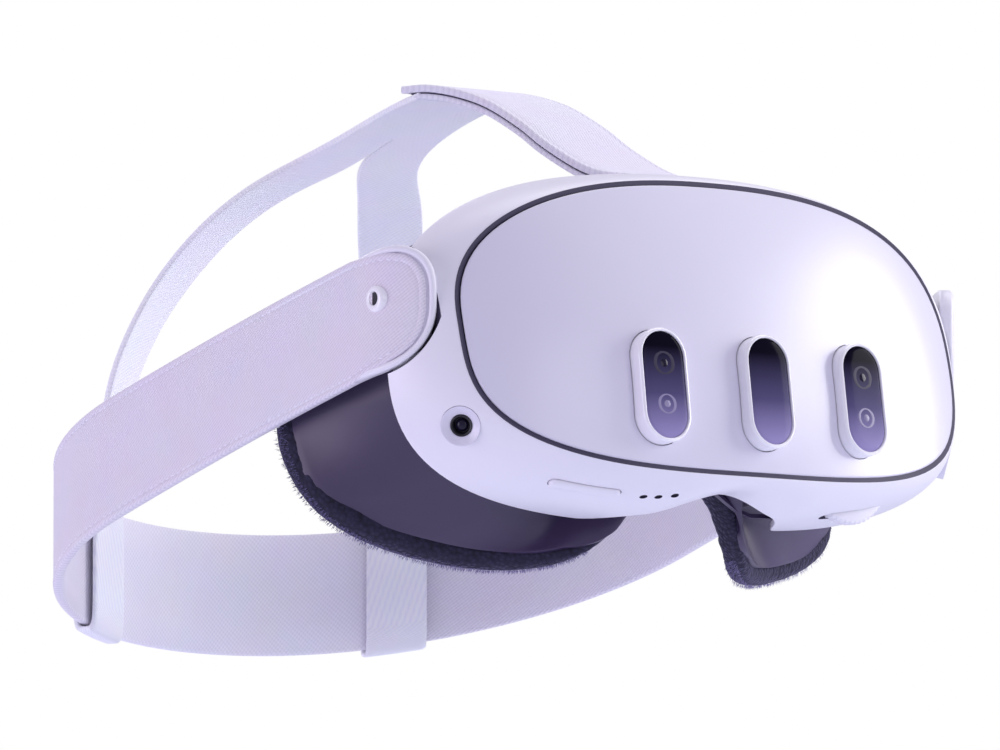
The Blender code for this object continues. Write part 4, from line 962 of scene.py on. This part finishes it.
def inflate(obj, cap):
    """Swell a cushion with a short cloth simulation, each point moving no further than the cap."""
    modifier(obj, "REMESH", mode="VOXEL", voxel_size=1.7 * MM, use_smooth_shade=True)
    settle(obj, 80)
    rest = np.array([v.co for v in obj.data.vertices])
    cloth = obj.modifiers.new("cloth", "CLOTH")
    cloth.settings.use_pressure = True
    cloth.settings.uniform_pressure_force = 4.0
    cloth.settings.effector_weights.gravity = 0.0
    cloth.point_cache.frame_end = 20
    scene = bpy.context.scene
    for step in range(1, 21):
        scene.frame_set(step)
    bpy.context.view_layer.update()
    evaluated = obj.evaluated_get(bpy.context.evaluated_depsgraph_get())
    swollen = np.array([v.co for v in evaluated.data.vertices])
    move = swollen - rest
    far = np.linalg.norm(move, axis=1, keepdims=True)
    move *= np.minimum(1.0, cap * MM / np.maximum(far, 1e-9))
    obj.modifiers.clear()
    for vertex, place in zip(obj.data.vertices, rest + move):
        vertex.co = place
    scene.frame_set(1)
    modifier(obj, "SUBSURF", levels=1, render_levels=1)
    settle(obj, 80)
    obj.data.materials.clear()
    obj.data.materials.append(MATERIALS["dark_foam"])


# ---- harness

def band_z(y):
    """The height of the band's middle, which falls towards the back."""
    back = y - PIVOT_Y
    return LOOP_PIVOT_Z + LOOP_SLOPE * back + LOOP_SAG * back ** 2


def band_height(y):
    share = clamped((y - PIVOT_Y) / 180.0)
    return BAND_HEIGHT + (BAND_HEIGHT_REAR - BAND_HEIGHT) * share


def arm_x(y):
    """The outer face of the loop beside the head, bent in at the arm's tip."""
    lead = max(ARM_BEND_Y - y, 0.0) / (ARM_BEND_Y - ARM_TIP_Y)
    run = max(y - ARM_BEND_Y, 0.0) / (LOOP_SIDE_Y - ARM_BEND_Y)
    return LOOP_FRONT_WIDTH - ARM_BEND_IN * lead ** 2 + (LOOP_HALF_WIDTH - LOOP_FRONT_WIDTH) * run


def arm_half_height(y, tip=ARM_TIP_Y, full=None):
    """Half the height of an arm's outline, which rounds off ahead of the pivot."""
    full = band_height(y) / 2 if full is None else full
    if y >= PIVOT_Y:
        return full
    reach = (PIVOT_Y - y) / (PIVOT_Y - tip)
    return full * max(1 - min(reach, 1.0) ** ARM_TIP_POWER, 0.0) ** (1 / ARM_TIP_POWER)


class LoopTable:
    """The loop's line and outward direction, read by arc length from the arm's tip to the middle back."""

    def __init__(self):
        line = [(-arm_x(y), y) for y in np.linspace(ARM_TIP_Y, LOOP_SIDE_Y, 120)]
        for turn in np.linspace(0, 90, 121)[1:]:
            cosine = math.cos(math.radians(turn))
            sine = math.sin(math.radians(turn))
            line.append((-LOOP_HALF_WIDTH * cosine ** (2 / LOOP_POWER),
                         LOOP_SIDE_Y + LOOP_DEPTH * sine ** (2 / LOOP_POWER)))
        self.line = np.array(line)
        steps = np.linalg.norm(np.diff(self.line, axis=0), axis=1)
        self.lengths = np.concatenate([[0.0], np.cumsum(steps)])
        self.total = self.lengths[-1]

    def at(self, length):
        """The point at a length along the loop, then the direction out of it."""
        reach = 1.5
        (x, y), (x0, y0), (x1, y1) = [
            [np.interp(spot, self.lengths, self.line[:, axis]) for axis in (0, 1)]
            for spot in (length, length - reach, length + reach)]
        size = math.hypot(x1 - x0, y1 - y0) or 1.0
        return x, y, (y0 - y1) / size, (x1 - x0) / size

    def length_at_x(self, x):
        """How far along the loop a negative X lies, on the way round the back."""
        back = self.line[120:]
        return float(np.interp(x, back[:, 0], self.lengths[120:]))


LOOP_TABLE = LoopTable()


def on_loop(length, up, depth, side):
    """A point beside the loop's centre line: up across the band, depth towards the head."""
    x, y, nx, ny = LOOP_TABLE.at(length)
    return -side * (x - nx * depth), y - ny * depth, band_z(y) + up


def strip(name, stations, half_height, levels, side, material, back_depth):
    """A strap along the loop with a hem all round.

    Stations are lengths along the loop. Levels are inset and depth pairs on its outer face, and the
    strap's outline is offset inwards for each."""
    outline = [(s, half_height(s)) for s in stations]
    outline += [(s, -h) for s, h in reversed(outline)]
    count = len(outline)
    flat = [Vector(p) for p in outline]
    normals = []
    for i in range(count):
        step = flat[(i + 1) % count] - flat[i - 1]
        inward = Vector((step.y, -step.x))
        normals.append(inward.normalized() if inward.length > 1e-9 else Vector((1, 0)))
    points, uvs = [], []

    def add_ring(inset, depth):
        for here, inward in zip(flat, normals):
            spot = here + inward * inset
            points.append(on_loop(spot.x, spot.y, depth, side))
            uvs.append((spot.x * MM, spot.y * MM))

    for inset, depth in ((0.0, back_depth - 0.5), (0.0, 0.55), *levels):
        add_ring(inset, depth)
    rows = 2 + len(levels)
    faces = grid_faces(rows, count, wrap_columns=True)
    faces += ladder(points, uvs, (rows - 1) * count, count)
    first = len(points)
    add_ring(0.5, back_depth)
    faces += [(j, (j + 1) % count, first + (j + 1) % count, first + j) for j in range(count)]
    faces += ladder(points, uvs, first, count)
    return add_object(name, mesh_of(points, faces, uvs), material, 50)


def ladder(points, uvs, start, count, columns=6):
    """Rungs between an outline's two halves, split across so that the face follows the loop's curve."""
    rows = []
    for i in range(count // 2):
        ends = start + i, start + count - 1 - i
        row = [ends[0]]
        for k in range(1, columns):
            for values in (points, uvs):
                a, b = (Vector(values[end]) for end in ends)
                values.append(tuple(a.lerp(b, k / columns)))
            row.append(len(points) - 1)
        rows.append(row + [ends[1]])
    return [(upper[k], upper[k + 1], lower[k + 1], lower[k])
            for upper, lower in zip(rows, rows[1:]) for k in range(columns)]


def eased(start, stop, count):
    """Values from start to stop that crowd towards the start."""
    return [start + (stop - start) * (1 - math.cos(math.radians(90) * i / (count - 1))) for i in range(count)]


def length_of_y(y):
    return float(np.interp(y, LOOP_TABLE.line[:120, 1], LOOP_TABLE.lengths[:120]))


def y_of_length(length):
    return float(np.interp(length, LOOP_TABLE.lengths, LOOP_TABLE.line[:, 1]))


def make_arm(side, name):
    """The moulded arm: its rounded lip shows round the front end of the cloth."""
    stations = eased(length_of_y(ARM_TIP_Y + 0.02), length_of_y(PIVOT_Y), 26)
    stations += list(np.linspace(length_of_y(PIVOT_Y + 2), length_of_y(ARM_END_Y), 24))

    def half_height(s):
        y = y_of_length(s)
        return arm_half_height(y) - 0.45 * clamped((y - PIVOT_Y) / 8)

    levels = ((0.08, 0.45), (0.3, 0.12), (0.65, -0.08), (1.1, -0.08), (1.5, 0.1), (1.65, 0.5), (1.75, 0.9))
    arm = strip(f"{name}_arm_moulding", stations, half_height, levels, side, "satin_white",
                ARM_THICKNESS - 1.2)
    finish_piece(arm, "harness", "satin_white", f"{name}_arm")


def make_side_strap(side, name):
    """Cloth from inside the arm's lip to the loop at the back, with a rolled and stitched edge."""
    tip = ARM_TIP_Y + CLOTH_INSET
    stations = eased(length_of_y(tip + 0.02), length_of_y(PIVOT_Y + 1), 26)
    end = LOOP_TABLE.length_at_x(-(SPLICE_X + 0.3))
    stations += list(np.linspace(length_of_y(PIVOT_Y + 3), end, 90))

    def half_height(s):
        y = y_of_length(s)
        inset = CLOTH_INSET * clamped((46.0 - y) / 14.0)
        return arm_half_height(y, tip, band_height(y) / 2 - inset)

    levels = ((0.12, 0.12), (0.4, -0.12), (0.9, -0.2), (1.4, -0.12), (1.75, 0.1), (2.1, -0.05), (2.8, -0.1))
    strap = strip(f"{name}_side_strap_cloth", stations, half_height, levels, side, "near_cloth", 2.4)
    finish_piece(strap, "harness", "fabric", f"{name}_side_strap")
    add_stitches(f"{name}_side_strap_stitches", stations, half_height, side)


def add_stitches(name, stations, half_height, side):
    """A row of short stitches in the groove beside the strap's rolled edge."""
    section = ((-1.0, 0.15, 0), (-0.7, 0.0, -1), (0.7, 0.0, -1), (1.0, 0.15, 0))
    steps = ((0.0, 0.08, -0.1), (0.25, 0.2, 0.12), (0.75, 0.2, 0.12), (1.0, 0.08, -0.1))
    points, faces = [], []
    for sign in (1, -1):
        s = stations[0] + 2.5
        while s < stations[-1] - 3:
            v0, v1 = (half_height(spot) - STITCH_INSET for spot in (s, s + 1.2))
            if v0 >= 3:
                base = len(points)
                for share, wide, lift in steps:
                    v = sign * (v0 + (v1 - v0) * share)
                    points += [on_loop(s + STITCH_LENGTH * share, v + across * wide, deep + raised * lift, side)
                               for across, deep, raised in section]
                faces += [tuple(base + f for f in face) for face in grid_faces(4, 4, wrap_columns=True)]
                faces += [(base, base + 1, base + 2, base + 3), (base + 15, base + 14, base + 13, base + 12)]
            s += STITCH_PITCH
    finish_piece(add_object(name, mesh_of(points, faces), "crown_cloth", 60), "harness", "fabric")


def make_rear_strap():
    """The knitted band round the back, from one splice to the other with a hem on both edges."""
    end = LOOP_TABLE.length_at_x(-SPLICE_X)
    stations = list(np.linspace(end, LOOP_TABLE.total, 30))
    pitch = (LOOP_TABLE.total - end) / (len(stations) - 1)
    places = [(s, -1) for s in stations] + [(s, 1) for s in reversed(stations[:-1])]
    hem = [(0.0, 0.45), (0.15, 0.15), (0.5, -0.08), (1.0, -0.15), (1.6, 0.05), (2.1, -0.1)]
    points, uvs = [], []
    for index, (s, side) in enumerate(places):
        half = band_height(y_of_length(s)) / 2
        outer = [(half - inset, depth) for inset, depth in hem]
        face = [(half * k / 6, -0.12) for k in range(4, -5, -1)]
        lower = [(-v, depth) for v, depth in reversed(outer)]
        back = [(-half, 2.3), (-half + 0.6, 2.75), (-half * 0.5, 2.8), (0, 2.8), (half * 0.5, 2.8),
                (half - 0.6, 2.75), (half, 2.3)]
        section = outer + face + lower + back
        points += [on_loop(s, v, depth, side) for v, depth in section]
        uvs += [(index * pitch * MM, v * MM) for v, _ in section]
    mesh = mesh_of(points, tube_faces(len(places), len(section)), uvs)
    finish_piece(add_object("rear_strap_cloth", mesh, "knit_cloth", 50), "harness", "fabric", "rear_strap")


def make_strap_loops():
    """The crown strap's ends, sewn round the rear strap as flat loops."""
    start = LOOP_TABLE.length_at_x(-SLEEVE_FAR_X)
    stop = LOOP_TABLE.length_at_x(-SLEEVE_NEAR_X)
    stations = [start, start + 0.25, start + 0.8, *np.linspace(start + 2, stop - 2, 8),
                stop - 0.8, stop - 0.25, stop]
    rows, count = len(stations), 44
    for side, name in ((-1, "right"), (1, "left")):
        points, uvs = [], []
        for full, sense in ((1.9, -1), (0.55, 1)):
            for s in stations:
                rounding = 0.45 * max(1 - min(s - start, stop - s) / 0.8, 0) ** 2
                grow = full + sense * rounding
                half = band_height(y_of_length(s)) / 2 + grow
                for i in range(count):
                    turn = 2 * math.pi * i / count
                    up = half * signed_power(math.sin(turn), 0.28)
                    deep = BAND_THICKNESS / 2 - (BAND_THICKNESS / 2 + grow) * signed_power(math.cos(turn), 0.45)
                    points.append(on_loop(s, up, deep, side))
                    uvs.append((i * 0.0022, (s - start) * MM))
        base = rows * count
        wall = grid_faces(rows, count, wrap_columns=True)
        faces = wall + [tuple(base + f for f in face) for face in wall]
        for a in (0, (rows - 1) * count):
            for j in range(count):
                k = (j + 1) % count
                faces.append((a + j, a + k, base + a + k, base + a + j))
        sleeve = add_object(f"{name}_strap_sleeve", mesh_of(points, faces, uvs), "crown_cloth", 50)
        finish_piece(sleeve, "harness", "fabric", f"{name}_strap_loop")


def out_of_head(point, tangent):
    out = point - HEAD_CENTRE
    return (out - tangent * out.dot(tangent)).normalized()


def crown_edges():
    """The inner and outer edges of the Y's right half, from the stem's start to the branch's end."""
    centre = [Vector(c) for c in CROWN_PATH]
    last = len(centre) - 1
    outer = [Vector(p) for p in STEM_OUTER]
    inner = [Vector(p) for p in STEM_INNER]
    for i, point in enumerate(centre):
        tangent = (centre[min(i + 1, last)] - centre[max(i - 1, 0)]).normalized()
        across = tangent.cross(out_of_head(point, tangent)).normalized()
        if across.x > 0:
            across = -across
        outer.append(point + across * CROWN_WIDTH / 2)
        inner.append(point - across * CROWN_WIDTH / 2)
    return eased_line(spline(inner, 90), 40), eased_line(spline(outer, 90), 40)


def eased_line(points, rounds):
    """The same line with its small kinks averaged out."""
    for _ in range(rounds):
        points = [points[0]] + [(points[i - 1] + 2 * points[i] + points[i + 1]) / 4
                                for i in range(1, len(points) - 1)] + [points[-1]]
    return points


def make_crown():
    """The Y over the back of the head, one piece of cloth with a rounded fork."""
    inner, outer = crown_edges()
    columns = 9
    points, uvs, faces = [], [], []
    for side in (1, -1):
        base = len(points)
        along = 0.0
        for i, (a, b) in enumerate(zip(inner, outer)):
            if i:
                along += ((a + b) / 2 - (inner[i - 1] + outer[i - 1]) / 2).length
            for k in range(columns):
                share = k / (columns - 1)
                spot = a.lerp(b, share)
                points.append((side * min(spot.x, 0.0), spot.y, spot.z))
                uvs.append((along * MM, side * share * (b - a).length * MM))
        faces += [tuple(base + f for f in face) for face in grid_faces(len(inner), columns)]
    mesh = reworked(mesh_of(points, faces, uvs), weld=0.02 * MM)
    face_out(mesh, at(*HEAD_CENTRE))
    crown = add_object("crown_strap_cloth", mesh, "crown_cloth", 60)
    thicken(crown, CROWN_THICKNESS, False, 0.0, 0.5, 3, 60, 60)
    finish_piece(crown, "harness", "fabric", "crown_strap")


def ribbon(name, path, width, low, high, material):
    """A flat strap over the head between two heights above its path, with a hem on both edges."""
    half = width / 2
    across = [(half, 0.45), (half - 0.15, 0.12), (half - 0.5, 0.0), (half - 1.1, 0.0), (half - 1.6, 0.16),
              (half - 2.1, 0.02)]
    across += [(half * k / 6, 0.0) for k in range(4, 0, -1)]
    upper = across + [(0.0, 0.0)] + [(-a, d) for a, d in reversed(across)]
    points, uvs = [], []
    last = len(path) - 1
    along = 0.0
    for i, point in enumerate(path):
        tangent = (path[min(i + 1, last)] - path[max(i - 1, 0)]).normalized()
        out = out_of_head(point, tangent)
        sideways = tangent.cross(out).normalized()
        if i:
            along += (point - path[i - 1]).length
        section = [(a, high - deep) for a, deep in upper] + [(a, low + deep) for a, deep in reversed(upper)]
        points += [point + sideways * a + out * height for a, height in section]
        uvs += [(along * MM, a * MM) for a, _ in section]
    return add_object(name, mesh_of(points, tube_faces(len(path), len(section)), uvs), material, 50)


def make_top_strap():
    """Two layers of cloth from the visor's anchor to the crown, with a dark strip between them as painted shade
    where they part.
    """
    path = spline(TOP_STRAP_PATH, 120)
    lower = ribbon("top_strap_lower", path[:113], TOP_STRAP_WIDTH, 0.0, 1.4, "top_cloth")
    upper = ribbon("top_strap_upper", path[8:], TOP_STRAP_WIDTH + 0.2, 1.8, 3.7, "top_cloth")
    # painted shade: a dark strip set back in the gap between the two layers
    gap_shade_strip = ribbon("top_strap_gap_shade", path[8:116], TOP_STRAP_WIDTH - 1.6, 1.3, 1.95, "seam_rubber")
    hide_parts("top_strap_front")
    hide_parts("top_strap")
    for strap in (lower, upper, gap_shade_strip):
        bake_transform(strap)


def make_jack():
    """The headphone socket's raised ring and dark bore, in the right arm."""
    x = -arm_x(PIVOT_Y)
    place = aimed((-1, 0, 0), (x, PIVOT_Y, PIVOT_Z + 1.5), (0, 1, 0))
    ring = turned(((1.55, -1.8), (1.55, 0.35), (1.75, 0.7), (2.2, 0.85), (2.75, 0.75), (3.15, 0.45), (3.3, 0.0),
                   (3.3, -1.8), (1.55, -1.8)), place)
    finish_piece(add_object("audio_jack_ring", ring, "gloss_white"), "harness", "gloss_white", "audio_jack")
    bore = drill(1.7, 0.3, -1.9, place)
    finish_piece(add_object("audio_jack_bore", bore, "liner"), "harness", "black")


def make_port():
    """The charging inlet's metal ring and dark well, in the left arm."""
    place = aimed((1, 0, 0), (arm_x(PORT_Y), PORT_Y, band_z(PORT_Y)), (0, 0, 1))
    ring = pill(2.3, 5.6, ((0.9, -1.5), (0.9, 0.1), (0.6, 0.3), (0.2, 0.25), (0.0, 0.0), (0.0, -1.5),
                           (0.9, -1.5)), place)
    finish_piece(add_object("usb_port_ring", ring, "metal"), "harness", "metal", "usb_port")
    floor = closed_pill(1.45, 4.75, ((1.4, -0.6), (0, -0.6), (0, -1.4), (1.4, -1.4)), place)
    finish_piece(add_object("usb_port_well", floor, "liner"), "harness", "black")


# ---- carried-over nodes, stage and camera

def dress_nodes():
    """Give every CAD node that stays its own finished material."""
    wanted = {entry["node"]: entry["material_slot"] for entry in frame["record"]["subparts"]}
    wanted.update(right_display="camera_lens", left_display="camera_lens", proximity_sensor="camera_lens",
                  right_speaker="dark_foam", left_speaker="dark_foam")
    for name, obj in frame["nodes"].items():
        finish = wanted.get(name, "black")
        for item in obj.material_slots:
            item.material = MATERIALS["knit_cloth" if finish == "fabric" else finish]


def make_stage():
    mesh = bpy.data.meshes.new("floor")
    corners = ((-1, -1), (1, -1), (1, 1), (-1, 1))
    mesh.from_pydata([(FLOOR_HALF * x, FLOOR_HALF * y, FLOOR_Z) for x, y in corners], [], [(0, 1, 2, 3)])
    mesh.materials.append(new_material("pale_floor", (0.80, 0.83, 0.95), 0.8))
    floor = bpy.data.objects.new("floor", mesh)
    bpy.context.scene.collection.objects.link(floor)


def area_light(name, direction, distance, size, power, colour):
    lamp = bpy.data.lights.new(name, "AREA")
    lamp.shape = "DISK"
    lamp.size = size
    lamp.energy = power
    lamp.color = colour
    obj = bpy.data.objects.new(name, lamp)
    bpy.context.scene.collection.objects.link(obj)
    way = Vector(direction).normalized()
    obj.location = at(*LIT_POINT) + way * distance
    obj.rotation_mode = "QUATERNION"
    obj.rotation_quaternion = way.to_track_quat("Z", "Y")


def make_lights():
    view_back = (Vector(CAMERA_POINT) - Vector(CAMERA_TARGET)).normalized()
    right = Vector((0, 0, 1)).cross(view_back).normalized()
    up = Vector((0, 0, 1))
    for lamp in (
            ("key", right - view_back * 0.25 + up * 0.25, 1.6, 1.1, 17.0, (1.0, 0.99, 1.0)),
            ("front", view_back * 0.9 + right * 0.9 + up * 0.3, 1.9, 1.2, 5.0, (0.97, 0.97, 1.0)),
            ("fill", view_back * 0.45 - right + up * 0.05, 1.7, 1.2, 8.5, (1.0, 0.95, 1.0)),
            ("violet", view_back * 0.55 - right - up * 0.1, 1.3, 0.35, 0.8, (0.70, 0.36, 1.0)),
            ("top", up - view_back * 0.25 + right * 0.2, 1.5, 1.3, 8.5, (0.99, 0.98, 1.0)),
            ("back", view_back * -0.8 + up * 0.35 - right * 0.4, 1.6, 1.0, 5.0, (0.95, 0.94, 1.0))):
        area_light(*lamp)
    world = bpy.data.worlds.new("studio")
    bpy.context.scene.world = world
    world.use_nodes = True
    nodes = world.node_tree.nodes
    seen = nodes["Background"]
    seen.inputs["Color"].default_value = (1.0, 1.0, 1.0, 1.0)
    seen.inputs["Strength"].default_value = 1.0
    glow = nodes.new("ShaderNodeBackground")
    glow.inputs["Color"].default_value = (0.83, 0.79, 1.0, 1.0)
    glow.inputs["Strength"].default_value = 0.52
    path = nodes.new("ShaderNodeLightPath")
    mix = nodes.new("ShaderNodeMixShader")
    links = world.node_tree.links
    links.new(path.outputs["Is Camera Ray"], mix.inputs["Fac"])
    links.new(glow.outputs["Background"], mix.inputs[1])
    links.new(seen.outputs["Background"], mix.inputs[2])
    links.new(mix.outputs["Shader"], nodes["World Output"].inputs["Surface"])


def make_camera():
    lens = bpy.data.cameras.new("camera")
    lens.lens = CAMERA_LENS
    lens.sensor_width = 36.0
    lens.clip_start = 0.1
    lens.clip_end = 50.0
    camera = bpy.data.objects.new("camera", lens)
    bpy.context.scene.collection.objects.link(camera)
    camera.location = at(*CAMERA_POINT)
    back = (at(*CAMERA_POINT) - at(*CAMERA_TARGET)).normalized()
    camera.rotation_mode = "QUATERNION"
    camera.rotation_quaternion = back.to_track_quat("Z", "Y")
    bpy.context.scene.camera = camera
    bpy.context.scene.view_settings.view_transform = "Standard"


make_camera()
make_lights()
make_stage()
dress_nodes()
make_panel()
make_shell()
make_seam()
make_windows()
make_side_cameras()
make_controls()
make_interface()
make_cushion()
make_fringe()
for arm_side, arm_name in ((-1, "right"), (1, "left")):
    make_arm(arm_side, arm_name)
    make_side_strap(arm_side, arm_name)
make_rear_strap()
make_strap_loops()
make_crown()
make_top_strap()
make_jack()
make_port()
